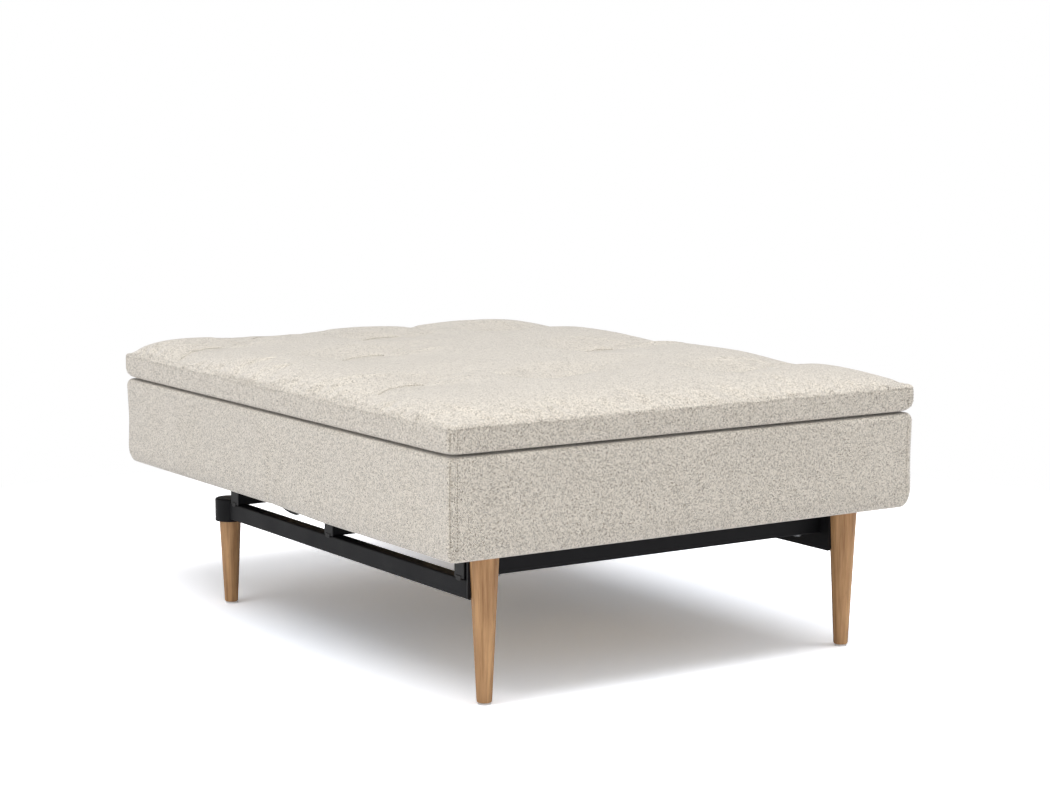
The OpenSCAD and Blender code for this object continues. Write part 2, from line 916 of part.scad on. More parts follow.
module seat_mattress() {
  color(cloth)
    difference() {
      padded_block(front_y, seat_y1, box_profile, false);
      seat_core();
    }
}

module back_core() {
  x = slot_x0 - core_margin;
  color(foam)
    translate([-x, back_y0 + core_margin, box_z + core_margin])
      cube([2 * x, rear_y - back_y0 - 2 * core_margin, box_t - 2 * core_margin]);
}

// Slots in the back's underside, in which the hinge's plates and arms move
module hinge_slots() {
  both_sides()
    translate([slot_x0, back_y0 - core_margin, box_z - over])
      cube([slot_x1 - slot_x0, slot_rear - back_y0 + core_margin, slot_top - box_z + over]);
}

module back_mattress() {
  color(cloth)
    difference() {
      padded_block(back_y0, rear_y, box_profile, true);
      back_core();
      hinge_slots();
    }
}

// Height of the topper's upper face: a crown less the dimple of each stitch
function crown(x, y) =
  let (u = abs(x) / half_w, v = abs(y) / rear_y)
  topper_crown * (1 - pow(min(1, u), crown_power)) * (1 - pow(min(1, v), crown_power));
function dimple(x, y, t) =
  let (
    dx = max(0, abs(x - t[0] * half_w) - tuft_half_l) / tuft_reach,
    dy = (y - t[1] * rear_y) / tuft_reach
  )
  exp(-(dx * dx + dy * dy) * 2);
function deepest(x, y) = max([for (t = tuft_shares) dimple(x, y, t)]);
function topper_height(x, y) = crown(x, y) * (1 - deepest(x, y) * tuft_depth / topper_crown);

// Topper over one part of the bed: rounded border, crowned and stitched top
module topper(y0, y1, swings) {
  low = box_top + soft_gap;
  edge_top = low + topper_t;
  hy = (y1 - y0) / 2;
  mid = (y0 + y1) / 2;
  nx = topper_cells_x + 4;
  ny = topper_cells_y + 4;
  ring = border(nx, ny);
  count = len(ring);
  profile = concat(
    foot_round(low, topper_t / 3, topper_inset, 2),
    top_round(edge_top, topper_t / 3, topper_inset, 2)
  );
  rows = len(profile);
  side_points = [for (r = [0:rows - 2])
    let (
      z = profile[r][0],
      hx = half_w - profile[r][1],
      h = hy - profile[r][1],
      xs = side_steps(hx, corner_r, topper_cells_x),
      ys = side_steps(h, corner_r, topper_cells_y)
    )
    for (k = ring)
      let (q = round_plan(xs[k[0]], ys[k[1]], hx, h, corner_r))
      [q[0], swings ? fold_shift(mid + q[1], z, y0) : mid + q[1], z]];
  hx = half_w - topper_inset;
  h = hy - topper_inset;
  xs = side_steps(hx, corner_r, topper_cells_x);
  ys = side_steps(h, corner_r, topper_cells_y);
  top_points = [for (j = [0:ny]) for (i = [0:nx])
    let (
      q = round_plan(xs[i], ys[j], hx, h, corner_r),
      x = q[0],
      y = mid + q[1],
      z = edge_top + topper_height(x, y)
    )
    [x, swings ? fold_shift(y, z, y0) : y, z]];
  base = len(side_points);
  function rim(i) =
    let (k = ring[i % count])
    base + k[1] * (nx + 1) + k[0];
  function side(r, i) = r == rows - 1 ? rim(i) : r * count + i % count;
  polyhedron(concat(side_points, top_points), concat(
    [[for (i = [0:count - 1]) i]],
    [for (r = [0:rows - 2]) for (i = [0:count - 1]) [side(r, i), side(r + 1, i), side(r, i + 1)]],
    [for (r = [0:rows - 2]) for (i = [0:count - 1])
      [side(r, i + 1), side(r + 1, i), side(r + 1, i + 1)]],
    [for (j = [0:ny - 1]) for (i = [0:nx - 1])
      let (a = base + j * (nx + 1) + i)
      [a, a + nx + 1, a + 1]],
    [for (j = [0:ny - 1]) for (i = [0:nx - 1])
      let (a = base + j * (nx + 1) + i)
      [a + 1, a + nx + 1, a + nx + 2]]
  ));
}

module seat_topper() {
  color(pale_cloth)
    topper(front_y, seat_y1, false);
}

module back_topper() {
  color(pale_cloth)
    topper(back_y0, rear_y, true);
}

color(steel) left() side_rail();  // left_side_rail
color(steel) side_rail();  // right_side_rail
color(steel) bolted_crossbar(front_bar_y);  // front_crossbar
color(steel) bolted_crossbar(middle_bar_y);  // middle_crossbar
color(steel) crossbar(rear_bar_y);  // rear_crossbar
crossbar_end_caps();
left() leg_bracket();  // front_left_leg_bracket
leg_bracket();  // front_right_leg_bracket
left() leg_cup();  // rear_left_leg_cup
leg_cup();  // rear_right_leg_cup
left() leg(front_leg_y, leg_top_z, front_bolt_turn, front_bolt_z);  // front_left_leg
leg(front_leg_y, leg_top_z, front_bolt_turn, front_bolt_z);  // front_right_leg
left() leg(rear_leg_y, cup_seat_z - seat_fit, rear_bolt_turn, rear_bolt_z);  // rear_left_leg
leg(rear_leg_y, cup_seat_z - seat_fit, rear_bolt_turn, rear_bolt_z);  // rear_right_leg
leg_glides();
leg_bolts();
seat_mount_pads();
seat_frame_bolts();
back_stop_pads();
left() seat_side_tube();  // seat_left_tube
seat_side_tube();  // seat_right_tube
seat_cross_tube(front_bar_y);  // seat_front_tube
seat_cross_tube(middle_bar_y);  // seat_rear_tube
slats(seat_in, seat_slat_y, seat_slat_w);  // seat_slats
slat_holders(seat_in, seat_slat_y, seat_slat_w);  // seat_slat_holders
seat_core();
seat_mattress();
seat_topper();
left() hinge_plate();  // left_hinge_plate
hinge_plate();  // right_hinge_plate
hinge_plate_bolts();
left() pivot_pin();  // left_pivot_pin
pivot_pin();  // right_pivot_pin
pivot_washers();
pivot_nuts();
pawl_pins();
left() pawl();  // left_pawl
pawl();  // right_pawl
left() back_arm();  // left_back_arm
back_arm();  // right_back_arm
back_arm_bolts();
left() back_side_tube();  // back_left_tube
back_side_tube();  // back_right_tube
back_cross_tube(back_tube_y0);  // back_front_tube
back_cross_tube(back_tube_y1 - tube_w);  // back_rear_tube
slats(back_in, back_slat_y, back_slat_w);  // back_slats
slat_holders(back_in, back_slat_y, back_slat_w);  // back_slat_holders
back_core();
back_mattress();
back_topper();
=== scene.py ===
"""The looks of a chair bed that lies flat: cloth, oak and steel round its fixed frame."""

import json
import math
from collections import namedtuple

import bmesh
import bpy
import numpy as np
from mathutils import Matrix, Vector
from mathutils.bvhtree import BVHTree


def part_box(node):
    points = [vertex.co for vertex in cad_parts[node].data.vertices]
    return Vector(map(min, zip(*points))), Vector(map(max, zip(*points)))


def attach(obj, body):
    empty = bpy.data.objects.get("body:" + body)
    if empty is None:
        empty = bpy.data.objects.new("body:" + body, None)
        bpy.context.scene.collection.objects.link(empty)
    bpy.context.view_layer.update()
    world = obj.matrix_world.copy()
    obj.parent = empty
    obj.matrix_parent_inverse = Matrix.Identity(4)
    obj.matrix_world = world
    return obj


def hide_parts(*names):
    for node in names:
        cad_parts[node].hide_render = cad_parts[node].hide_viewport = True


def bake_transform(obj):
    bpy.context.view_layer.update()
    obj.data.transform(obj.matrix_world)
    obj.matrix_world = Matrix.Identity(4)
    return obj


bl_info = {
    "name": "Chair Bed",
    "version": (1, 0, 0),
    "blender": (4, 5, 0),
    "location": "3D View > Sidebar > Chair Bed",
    "description": "Builds the cloth, wood and steel of a chair bed lying flat",
    "category": "Object",
}

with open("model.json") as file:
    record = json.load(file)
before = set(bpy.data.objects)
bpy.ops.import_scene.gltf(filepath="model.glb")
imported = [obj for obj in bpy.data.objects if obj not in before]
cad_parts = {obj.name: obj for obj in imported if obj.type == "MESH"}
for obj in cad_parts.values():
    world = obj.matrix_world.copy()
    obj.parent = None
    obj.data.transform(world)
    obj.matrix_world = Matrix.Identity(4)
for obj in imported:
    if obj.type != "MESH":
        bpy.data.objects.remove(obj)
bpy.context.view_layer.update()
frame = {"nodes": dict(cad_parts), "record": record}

# Bodies of the frame that the corner seams move with
BASE = "base"
BACK = "back"

# Thickness of the cloth and its wadding outside the foam, in metres
COVER = 0.004

# Places taken from the frame, in metres
SEAT_LOW, SEAT_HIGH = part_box("seat_mattress")
BACK_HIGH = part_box("back_mattress")[1]
TOP_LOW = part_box("seat_topper")[0]
HALF_W = SEAT_HIGH.x + COVER
FRONT_Y = SEAT_LOW.y - COVER
REAR_Y = BACK_HIGH.y + COVER
BOX_FOOT = SEAT_LOW.z
BOX_TOP = SEAT_HIGH.z - COVER / 2
TOPPER_FOOT = TOP_LOW.z - COVER / 2

BODY_OF = {
    node: body for body, nodes in frame["record"]["behaviour"]["bodies"].items() for node in nodes
}
SLOT_OF = {part["node"]: part["material_slot"] for part in frame["record"]["subparts"]}

# Each quilting line in the topper: its middle in metres from the middle of the bed, its pull, the
# pull of the fold behind it, and how far the front side of its dimple is drawn out
Tuft = namedtuple("Tuft", "x y pull fold drawn")
TUFTS = [
    Tuft(-0.355, -0.272, 0.55, 0.40, 1.0),
    Tuft(-0.055, -0.285, 0.80, 0.50, 0.0),
    Tuft(0.262, -0.365, 1.00, 0.64, 0.0),
    Tuft(-0.175, 0.515, 0.25, 0.12, 1.0),
    Tuft(-0.200, 0.125, 0.55, 0.45, 1.0),
    Tuft(0.225, 0.027, 0.80, 0.64, 0.8),
    Tuft(-0.385, 0.395, 0.55, 0.60, 1.0),
    Tuft(-0.015, 0.393, 0.60, 0.64, 1.0),
    Tuft(0.271, 0.385, 1.00, 0.64, 0.0),
]


# Settings that a user would change


def length(name, text, value, low=0.0):
    return bpy.props.FloatProperty(
        name=name, description=text, default=value, min=low, unit="LENGTH", precision=4
    )


def tint(name, text, value):
    return bpy.props.FloatVectorProperty(
        name=name, description=text, default=value, size=3, min=0.0, max=1.0, subtype="COLOR"
    )


def share(name, text, value, high=1.0):
    return bpy.props.FloatProperty(name=name, description=text, default=value, min=0.0, max=high)


def watts(name, text, value):
    return bpy.props.FloatProperty(name=name, description=text, default=value, min=0.0)


def part(kind, name, text):
    return bpy.props.PointerProperty(type=kind, name=name, description=text)


class ChairBedCloth(bpy.types.PropertyGroup):
    pitch: length("Thread pitch", "Distance between neighbouring threads", 0.0017, 0.0005)
    slub: length("Slub length", "Length of a stretch of one colour along a thread", 0.0030, 0.002)
    pale: tint("Pale yarn", "Colour of the palest yarn", (0.745, 0.69, 0.605))
    sand: tint("Sand yarn", "Colour of the commonest yarn", (0.69, 0.635, 0.555))
    taupe: tint("Taupe yarn", "Colour of the middle yarn", (0.53, 0.475, 0.40))
    brown: tint("Brown yarn", "Colour of the darkest flecks", (0.30, 0.26, 0.208))
    sheen: share("Sheen", "Soft shine of the cloth's fibres", 0.70)
    # Dark, so that along the quilting lines the thread also paints the shade of their creases
    thread: tint("Thread", "Colour of the sewing thread", (0.30, 0.26, 0.205))


class ChairBedTopper(bpy.types.PropertyGroup):
    edge: length("Edge height", "Thickness of the topper at its border", 0.0435)
    crown: length("Crown", "How far the middle stands above the border", 0.0305)
    inset: length("Inset", "How far the border draws in above", 0.005)
    round: length("Rounding", "Height over which the border rounds above", 0.006)
    foot_round: length("Foot rounding", "Height over which the border rounds below", 0.010)
    foot_inset: length("Foot inset", "How far the border draws in below", 0.009)
    tuck: length("Corner tuck", "How far the corners draw in at the gap under the topper", 0.006)
    corner: length("Corner radius", "Plan radius of the corners", 0.009)
    tuft_depth: length("Stitch depth", "Depth that a stitch pulls the cloth down", 0.023)
    tuft_half: length("Stitch half length", "Half the length of one stitch line", 0.052)
    tuft_reach: length("Dimple reach", "Reach of the dimple round a stitch", 0.085)
    arch: share("Arch", "How far a stitch line arches back, as a share of its half length", 0.30)
    groove: length("Seam depth", "Depth of the grooves along the seams", 0.0009)
    pressure: share("Pressure", "Filling pressure in the cloth simulation", 3.0, 20.0)
    cap: length("Swell limit", "Furthest that a point may move in the simulation", 0.0022)


class ChairBedBox(bpy.types.PropertyGroup):
    corner: length("Corner radius", "Plan radius of the corners", 0.009)
    top_inset: length("Top inset", "How far the sides draw in at the top edge", 0.005)
    top_round: length("Top rounding", "Height over which the top edge rounds", 0.010)
    foot_inset: length("Foot inset", "How far the sides draw in at the underside", 0.013)
    foot_round: length("Foot rounding", "Height over which the lower edge rounds", 0.034)
    sag: length("Sag", "How far the underside hangs outside the frame", 0.0045)
    rim_drop: length("Rim drop", "How far the top sinks along its rim", 0.0036)
    groove: length("Seam depth", "Depth of the grooves along the seams", 0.0012)
    stitch_gap: length("Seam width", "Distance from a corner seam to its row of stitches", 0.0147)


class ChairBedSewing(bpy.types.PropertyGroup):
    pitch: length("Stitch pitch", "Distance from one stitch to the next", 0.0048)
    stitch: length("Stitch length", "Length of one stitch", 0.0036)
    radius: length("Thread radius", "Radius of the sewing thread", 0.0006)


class ChairBedSteel(bpy.types.PropertyGroup):
    paint: tint("Paint", "Colour of the powder coat", (0.0075, 0.0075, 0.0085))
    roundness: length("Tube corner", "Outer corner radius of the tubes", 0.0028)
    broken_edge: length("Broken edge", "Rounding of every other steel edge", 0.0005)
    cup_round: length("Cup rounding", "Rounding of the upper rim of a leg cup", 0.0032)
    socket: length("Socket", "Width across the flats of a bolt's hex socket", 0.005)
    plastic: tint("Plastic", "Colour of the caps and holders", (0.0045, 0.0045, 0.005))
    zinc: tint("Zinc", "Colour of the plated fasteners", (0.22, 0.225, 0.23))


class ChairBedWood(bpy.types.PropertyGroup):
    chamfer: length("Leg chamfer", "Rounding at the ends of a leg", 0.0016)
    slat: length("Slat thickness", "Thickness of a sprung slat", 0.008)
    slat_edge: length("Slat edge", "Rounding along the edges of a slat", 0.003)
    oak_light: tint("Light oak", "Colour of the legs between the grain", (0.605, 0.35, 0.163))
    oak_dark: tint("Dark oak", "Colour of the legs' grain", (0.25, 0.118, 0.044))
    birch_light: tint("Light birch", "Colour of the slats between the grain", (0.66, 0.50, 0.31))
    birch_dark: tint("Dark birch", "Colour of the slats' grain", (0.54, 0.38, 0.215))
    felt: tint("Felt", "Colour of the glides under the legs", (0.84, 0.83, 0.81))


class ChairBedStage(bpy.types.PropertyGroup):
    floor: tint("Floor", "Colour of the floor", (0.93, 0.93, 0.945))
    # Painted shadow: a darker, bluer floor colour under the bed that stands in for the bed's shade
    shadow: tint("Shadow", "Colour of the floor under the bed", (0.745, 0.775, 0.83))
    daylight: share("Sky", "Strength of the even light from all round", 0.54, 5.0)
    gain: share("Floor gain", "How much brighter the camera sees the floor than it is lit", 2.0, 5.0)
    key: watts("Key", "Power of the long overhead lamp", 111.0)
    side: watts("Side", "Power of the lamp on the left", 13.0)
    fill: watts("Fill", "Power of the front fill lamp", 15.0)


class ChairBedSettings(bpy.types.PropertyGroup):
    cloth: part(ChairBedCloth, "Cloth", "Woven cover")
    topper: part(ChairBedTopper, "Topper", "Stitched pad")
    box: part(ChairBedBox, "Box", "Mattress box")
    sewing: part(ChairBedSewing, "Sewing", "Seams")
    steel: part(ChairBedSteel, "Steel", "Base frame")
    wood: part(ChairBedWood, "Wood", "Legs and slats")
    stage: part(ChairBedStage, "Stage", "Floor and light")


# Node groups and materials

COLOUR, NUMBER, VECTOR = "NodeSocketColor", "NodeSocketFloat", "NodeSocketVector"


def reckon(operation, swapped=False):
    """A method of a wire that puts one math node behind it."""

    def method(self, other):
        values = (other, self) if swapped else (self, other)
        return self.nodes.math(operation, *values)

    return method


class Wire:
    """A value that runs from one node to others, and can be reckoned with."""

    def __init__(self, nodes, socket):
        self.nodes = nodes
        self.socket = socket

    __add__ = reckon("ADD")
    __sub__ = reckon("SUBTRACT")
    __rsub__ = reckon("SUBTRACT", swapped=True)
    __mul__ = reckon("MULTIPLY")
    __truediv__ = reckon("DIVIDE")
    __mod__ = reckon("MODULO")
    __pow__ = reckon("POWER")
    __gt__ = reckon("GREATER_THAN")


class Nodes:
    """Places shader or geometry nodes in a tree and wires them up."""

    def __init__(self, tree):
        self.tree = tree

    def add(self, kind, inputs=(), **settings):
        node = self.tree.nodes.new(kind)
        for name, value in settings.items():
            setattr(node, name, value)
        for key, value in dict(inputs).items():
            self.feed(node.inputs[key], value)
        return node

    def feed(self, socket, value):
        if isinstance(value, Wire):
            self.tree.links.new(value.socket, socket)
        else:
            socket.default_value = (*value, 1.0) if socket.type == "RGBA" else value

    def value(self, kind, inputs=(), output=0, **settings):
        """Places a node and gives one of its outputs."""
        return Wire(self, self.add(kind, inputs, **settings).outputs[output])

    def group(self, tree, inputs):
        """Places a shared shader group and gives its outputs by name."""
        node = self.add("ShaderNodeGroup", inputs, node_tree=tree)
        return {socket.name: Wire(self, socket) for socket in node.outputs}

    def finish(self, outputs):
        """Ends a shared tree with what it gives, by name."""
        self.add("NodeGroupOutput", outputs)
        return self.tree

    def math(self, operation, *values):
        return self.value("ShaderNodeMath", enumerate(values), operation=operation)

    def vector(self, x=0.0, y=0.0, z=0.0):
        return self.value("ShaderNodeCombineXYZ", {"X": x, "Y": y, "Z": z})

    def split(self, vector):
        node = self.add("ShaderNodeSeparateXYZ", {"Vector": vector})
        return [Wire(self, socket) for socket in node.outputs]

    def mix(self, factor, first, second, blend="MIX"):
        inputs = {0: factor, 6: first, 7: second}
        return self.value("ShaderNodeMix", inputs, 2, data_type="RGBA", blend_type=blend)

    def shade(self, colour, level):
        """A colour made lighter or darker."""
        return self.mix(1.0, colour, self.vector(level, level, level), "MULTIPLY")

    def between(self, value, low, high, to_low=0.0, to_high=1.0):
        return self.value("ShaderNodeMapRange", {
            "Value": value, "From Min": low, "From Max": high, "To Min": to_low, "To Max": to_high
        })

    def place(self):
        return self.value("ShaderNodeTexCoord", output="Object")

    def noise(self, vector, scale, detail=2.0, roughness=0.5):
        return self.value("ShaderNodeTexNoise", {
            "Vector": vector, "Scale": scale, "Detail": detail, "Roughness": roughness
        })

    def random(self, vector, dimensions="3D"):
        inputs = {"Vector": vector}
        return self.value("ShaderNodeTexWhiteNoise", inputs, "Value", noise_dimensions=dimensions)


def once(build):
    """Lets a shared tree be built on the first call, and found by its name from then on."""

    def find():
        name = build.__name__
        return bpy.data.node_groups.get(name) or build(name)

    return find


def new_tree(name, kind, inputs, outputs):
    """An empty tree with named sockets: its Nodes helper, and what it is given by name."""
    tree = bpy.data.node_groups.new(name, kind)
    for in_out, sockets in (("INPUT", inputs), ("OUTPUT", outputs)):
        for label, socket in sockets.items():
            tree.interface.new_socket(label, in_out=in_out, socket_type=socket)
    nodes = Nodes(tree)
    given = nodes.add("NodeGroupInput").outputs
    return nodes, {label: Wire(nodes, given[label]) for label in inputs}


# Share of a thread's stretches past which each further colour shows, where sand shows before
YARN_STEPS = (("Pale", 0.40), ("Taupe", 0.78), ("Brown", 0.965))
WANDER = 1.5  # how far the threads stray from straight, in threads
UNEVEN = 37.0  # how far along a thread its first stretch may start, in stretches


@once
def melange_weave(name):
    """Plain weave of mixed yarns: each thread changes colour along its length, with painted shade in
    the gaps between threads and a painted highlight on their crowns.
    """
    yarns = {"Pale": COLOUR, "Sand": COLOUR, "Taupe": COLOUR, "Brown": COLOUR}
    nodes, given = new_tree(
        name, "ShaderNodeTree", {"Vector": VECTOR, "Pitch": NUMBER, "Slub": NUMBER, **yarns},
        {"Color": COLOUR, "Height": NUMBER},
    )
    run = given["Slub"] / given["Pitch"]
    stray = nodes.noise(given["Vector"], scale=9.0) * WANDER
    u, v = [place / given["Pitch"] + stray for place in nodes.split(given["Vector"])[:2]]
    column, row = nodes.math("FLOOR", u), nodes.math("FLOOR", v)

    def yarn(index, along, seed):
        """Colour of one thread, in stretches of uneven length."""
        start = nodes.random(nodes.vector(index, seed), "2D")
        stretch = nodes.math("FLOOR", along / run + start * UNEVEN)
        pick = nodes.random(nodes.vector(index, stretch, seed))
        shade = given["Sand"]
        for label, above in YARN_STEPS:
            shade = nodes.mix(pick > above, shade, given[label])
        return shade

    warp = yarn(column, v, seed=3.0)
    weft = yarn(row, u, seed=11.0)
    over = nodes.math("ABSOLUTE", column + row) % 2.0 > 0.5
    arch_u, arch_v = [nodes.math("SINE", nodes.math("FRACT", t) * math.pi) for t in (u, v)]
    height = (arch_u * arch_v) ** 0.5
    fleck = nodes.random(nodes.vector(column, row, 5.0)) ** 3.0
    # Painted shade and highlight: the colour is darkened where a thread dips into the gaps and
    # lightened on its crown
    gap = nodes.between(height, 0.0, 0.9, to_low=0.52, to_high=1.10)
    jitter = nodes.between(fleck, 0.0, 1.0, to_low=1.10, to_high=0.52)
    weft_tone = nodes.between(over, 0.0, 1.0, to_low=1.07, to_high=0.89)
    slow = nodes.noise(given["Vector"], scale=5.0, detail=3.0)
    cloud = nodes.between(slow, 0.3, 0.7, to_low=0.985, to_high=1.015)
    level = gap * (jitter * weft_tone) * cloud
    shaded = nodes.shade(nodes.mix(over, weft, warp), level)
    return nodes.finish({"Color": shaded, "Height": height})


@once
def wood_grain(name):
    """Straight wood grain along one axis, with pores and slow bands."""
    nodes, given = new_tree(
        name, "ShaderNodeTree",
        {"Vector": VECTOR, "Light": COLOUR, "Dark": COLOUR, "Stretch": VECTOR},
        {"Color": COLOUR, "Roughness": NUMBER, "Height": NUMBER},
    )
    both = {0: given["Vector"], 1: given["Stretch"]}
    drawn = nodes.value("ShaderNodeVectorMath", both, operation="MULTIPLY")
    broad = nodes.noise(drawn, scale=1.0, detail=4.0, roughness=0.6)
    bands = nodes.between(broad, 0.30, 0.72)
    fine = nodes.noise(drawn, scale=5.0, detail=6.0, roughness=0.72)
    pores = nodes.between(fine, 0.56, 0.74)
    streak = nodes.mix(bands * 0.95, given["Light"], given["Dark"])
    return nodes.finish({
        "Color": nodes.mix(pores * 0.6, streak, given["Dark"]),
        "Roughness": nodes.between(fine, 0.3, 0.7, to_low=0.40, to_high=0.58),
        "Height": bands - pores * 1.6,
    })


@once
def fine_coat(name):
    """Fine orange peel and dust of a painted or moulded surface."""
    nodes, given = new_tree(
        name, "ShaderNodeTree",
        {"Vector": VECTOR, "Base": COLOUR, "Scale": NUMBER, "Low": NUMBER, "High": NUMBER},
        {"Color": COLOUR, "Roughness": NUMBER, "Height": NUMBER},
    )
    smear = nodes.noise(given["Vector"], scale=14.0, detail=4.0, roughness=0.6)
    lift = nodes.between(smear, 0.35, 0.75, to_low=0.9, to_high=1.35)
    return nodes.finish({
        "Color": nodes.shade(given["Base"], lift),
        "Roughness": nodes.between(smear, 0.3, 0.7, given["Low"], given["High"]),
        "Height": nodes.noise(given["Vector"], given["Scale"], detail=3.0),
    })


def fresh_nodes(owner):
    """The emptied node tree of a material or a world."""
    owner.use_nodes = True
    owner.node_tree.nodes.clear()
    return Nodes(owner.node_tree)


def material_of(name, pattern, depth, looks):
    """A material, made the first time from a pattern's colour, roughness and height."""
    if name in bpy.data.materials:
        return bpy.data.materials[name]
    material = bpy.data.materials.new(name)
    nodes = fresh_nodes(material)
    given = pattern(nodes)
    bump = {"Height": given["Height"], "Distance": depth, "Strength": 1.0}
    looks = {**looks, "Base Color": given["Color"], "Normal": nodes.value("ShaderNodeBump", bump)}
    if "Roughness" in given:
        looks["Roughness"] = given["Roughness"]
    shader = nodes.value("ShaderNodeBsdfPrincipled", looks)
    nodes.add("ShaderNodeOutputMaterial", {"Surface": shader})
    return material


def cloth_material(settings):
    cloth = settings.cloth

    def pattern(nodes):
        return nodes.group(melange_weave(), {
            "Vector": nodes.value("ShaderNodeUVMap", uv_map="cloth"), "Pitch": cloth.pitch,
            "Slub": cloth.slub, "Pale": cloth.pale, "Sand": cloth.sand, "Taupe": cloth.taupe,
            "Brown": cloth.brown,
        })

    return material_of("melange_cloth", pattern, depth=0.00025, looks={
        "Roughness": 0.92, "Specular IOR Level": 0.25, "Sheen Weight": cloth.sheen,
        "Sheen Roughness": 0.45, "Sheen Tint": (1.0, 0.98, 0.96),
    })


def thread_material(settings):
    def pattern(nodes):
        ply = nodes.noise(nodes.place(), scale=1400.0)
        tone = nodes.between(ply, 0.3, 0.7, to_low=0.75, to_high=1.2)
        return {"Color": nodes.shade(settings.cloth.thread, tone), "Height": ply}

    return material_of("sewing_thread", pattern, depth=0.0002, looks={"Roughness": 0.7})


def wood_material(name, light, dark, stretch):
    def pattern(nodes):
        return nodes.group(wood_grain(), {
            "Vector": nodes.place(), "Light": light, "Dark": dark, "Stretch": stretch
        })

    return material_of(name, pattern, depth=0.00025, looks={"Specular IOR Level": 0.4})


def coated_material(name, base, scale, low, high, depth, metal=0.0, shine=0.5):
    """Painted, moulded or plated finish whose roughness lies between low and high."""

    def pattern(nodes):
        return nodes.group(fine_coat(), {
            "Vector": nodes.place(), "Base": base, "Scale": scale, "Low": low, "High": high
        })

    return material_of(name, pattern, depth, {"Metallic": metal, "Specular IOR Level": shine})


def steel_material(settings):
    return coated_material(
        "black_powder_coat", settings.steel.paint,
        scale=1100.0, low=0.40, high=0.54, depth=0.00012, shine=0.12,
    )


def plastic_material(settings):
    return coated_material(
        "black_plastic", settings.steel.plastic,
        scale=1600.0, low=0.48, high=0.62, depth=0.0001, shine=0.08,
    )


def rubber_material(settings):
    return coated_material(
        "black_rubber", settings.steel.plastic, scale=700.0, low=0.72, high=0.85, depth=0.00015
    )


def zinc_material(settings):
    return coated_material(
        "zinc_plate", settings.steel.zinc,
        scale=500.0, low=0.24, high=0.42, depth=0.00005, metal=1.0,
    )


def felt_material(settings):
    return coated_material(
        "pale_felt", settings.wood.felt, scale=2200.0, low=0.88, high=0.96, depth=0.0006
    )


def oak_material(settings):
    wood = settings.wood
    return wood_material("light_oak", wood.oak_light, wood.oak_dark, stretch=(150.0, 150.0, 3.4))


def birch_material(settings):
    wood = settings.wood
    return wood_material("birch", wood.birch_light, wood.birch_dark, stretch=(2.6, 45.0, 45.0))


FINISHES = {
    "black_steel": steel_material, "black_plastic": plastic_material, "zinc": zinc_material,
    "black_rubber": rubber_material, "felt": felt_material, "oak": oak_material,
    "birch": birch_material,
}


# Mesh helpers

TINY = 1e-9  # keeps a length from being nothing where it divides, in metres
SAME_POINT = 1e-6  # points closer together than this are one, in metres
ON_PLANE = 0.0001  # a point this close to a plane lies on it, in metres


def new_object(name, mesh, material=None):
    """Puts a mesh in the scene as an object, with its one material."""
    piece = bpy.data.objects.new(name, mesh)
    bpy.context.scene.collection.objects.link(piece)
    if material is not None:
        mesh.materials.clear()
        mesh.materials.append(material)
    return piece


def from_bmesh(name, bm, smooth=True):
    """An object of the mesh being edited, with its faces turned outwards."""
    bmesh.ops.recalc_face_normals(bm, faces=bm.faces)
    mesh = bpy.data.meshes.new(name)
    bm.to_mesh(mesh)
    bm.free()
    for face in mesh.polygons:
        face.use_smooth = smooth
    return new_object(name, mesh)


def shade_by_angle(piece, degrees):
    """Keeps edges sharper than an angle crisp, and all else smooth."""
    for face in piece.data.polygons:
        face.use_smooth = True
    piece.data.set_sharp_from_angle(angle=math.radians(degrees))


def bake(piece):
    """Replaces a piece's mesh by its evaluated one and drops its modifiers."""
    graph = bpy.context.evaluated_depsgraph_get()
    mesh = bpy.data.meshes.new_from_object(piece.evaluated_get(graph))
    old = piece.data
    mesh.name = old.name
    piece.modifiers.clear()
    piece.data = mesh
    if old.users == 0:
        bpy.data.meshes.remove(old)
    return piece


SIDE_FIRST = [1.0, 1.0, 0.9]  # lets a slanting face count as one of the sides


def read(items, name, width=1, kind=np.int32):
    """A value of each point, face or corner of a mesh, as an array."""
    out = np.empty(len(items) * width, kind)
    items.foreach_get(name, out)
    return out if width == 1 else out.reshape(-1, width)


def cloth_uv(mesh):
    """Lays each face's UVs flat in metres, as seen along the axis that it faces most."""
    layer = mesh.uv_layers.get("cloth") or mesh.uv_layers.new(name="cloth")
    points = read(mesh.vertices, "co", 3, np.float32)[read(mesh.loops, "vertex_index")]
    normals = np.abs(read(mesh.polygons, "normal", 3, np.float32))
    facing = np.argmax(normals * SIDE_FIRST, axis=1)
    axis = np.repeat(facing, read(mesh.polygons, "loop_total"))
    first = np.where(axis == 0, 1, 0)
    second = np.where(axis == 2, 1, 2)
    each = np.arange(len(points))
    uv = np.stack([points[each, first], points[each, second]], axis=1)
    layer.data.foreach_set("uv", uv.astype(np.float32).ravel())


# Upholstery

# Places of the points in a corner, as shares of its radius
CORNER_SHARES = (0.22, 0.44, 0.64, 0.82, 0.94, 1.0)

# Points of a quilting line, from its left end to its right end, as shares of its half length:
# across, back, and how much of the arch is added. Then the far end of the fold, across and back.
STITCH_SHARES = ((-1.0, -0.35, 0.0), (-0.35, -0.15, 0.88), (0.35, 0.07, 0.88), (1.0, 0.27, 0.0))
FOLD_SHARES = (2.8, 1.48)

# How squarely the topper's crown falls off towards each side: the power that it falls with
CROWN_LEFT, CROWN_RIGHT, CROWN_FRONT, CROWN_REAR = 16, 9, 10, 18
CROWN_FULL = 1.6  # the dimples are full where the crown has its height over this, or more

# How much further the drawn front side of a dimple reaches, and how much less its back does
DRAWN_OUT, DRAWN_IN = 0.95, 0.40

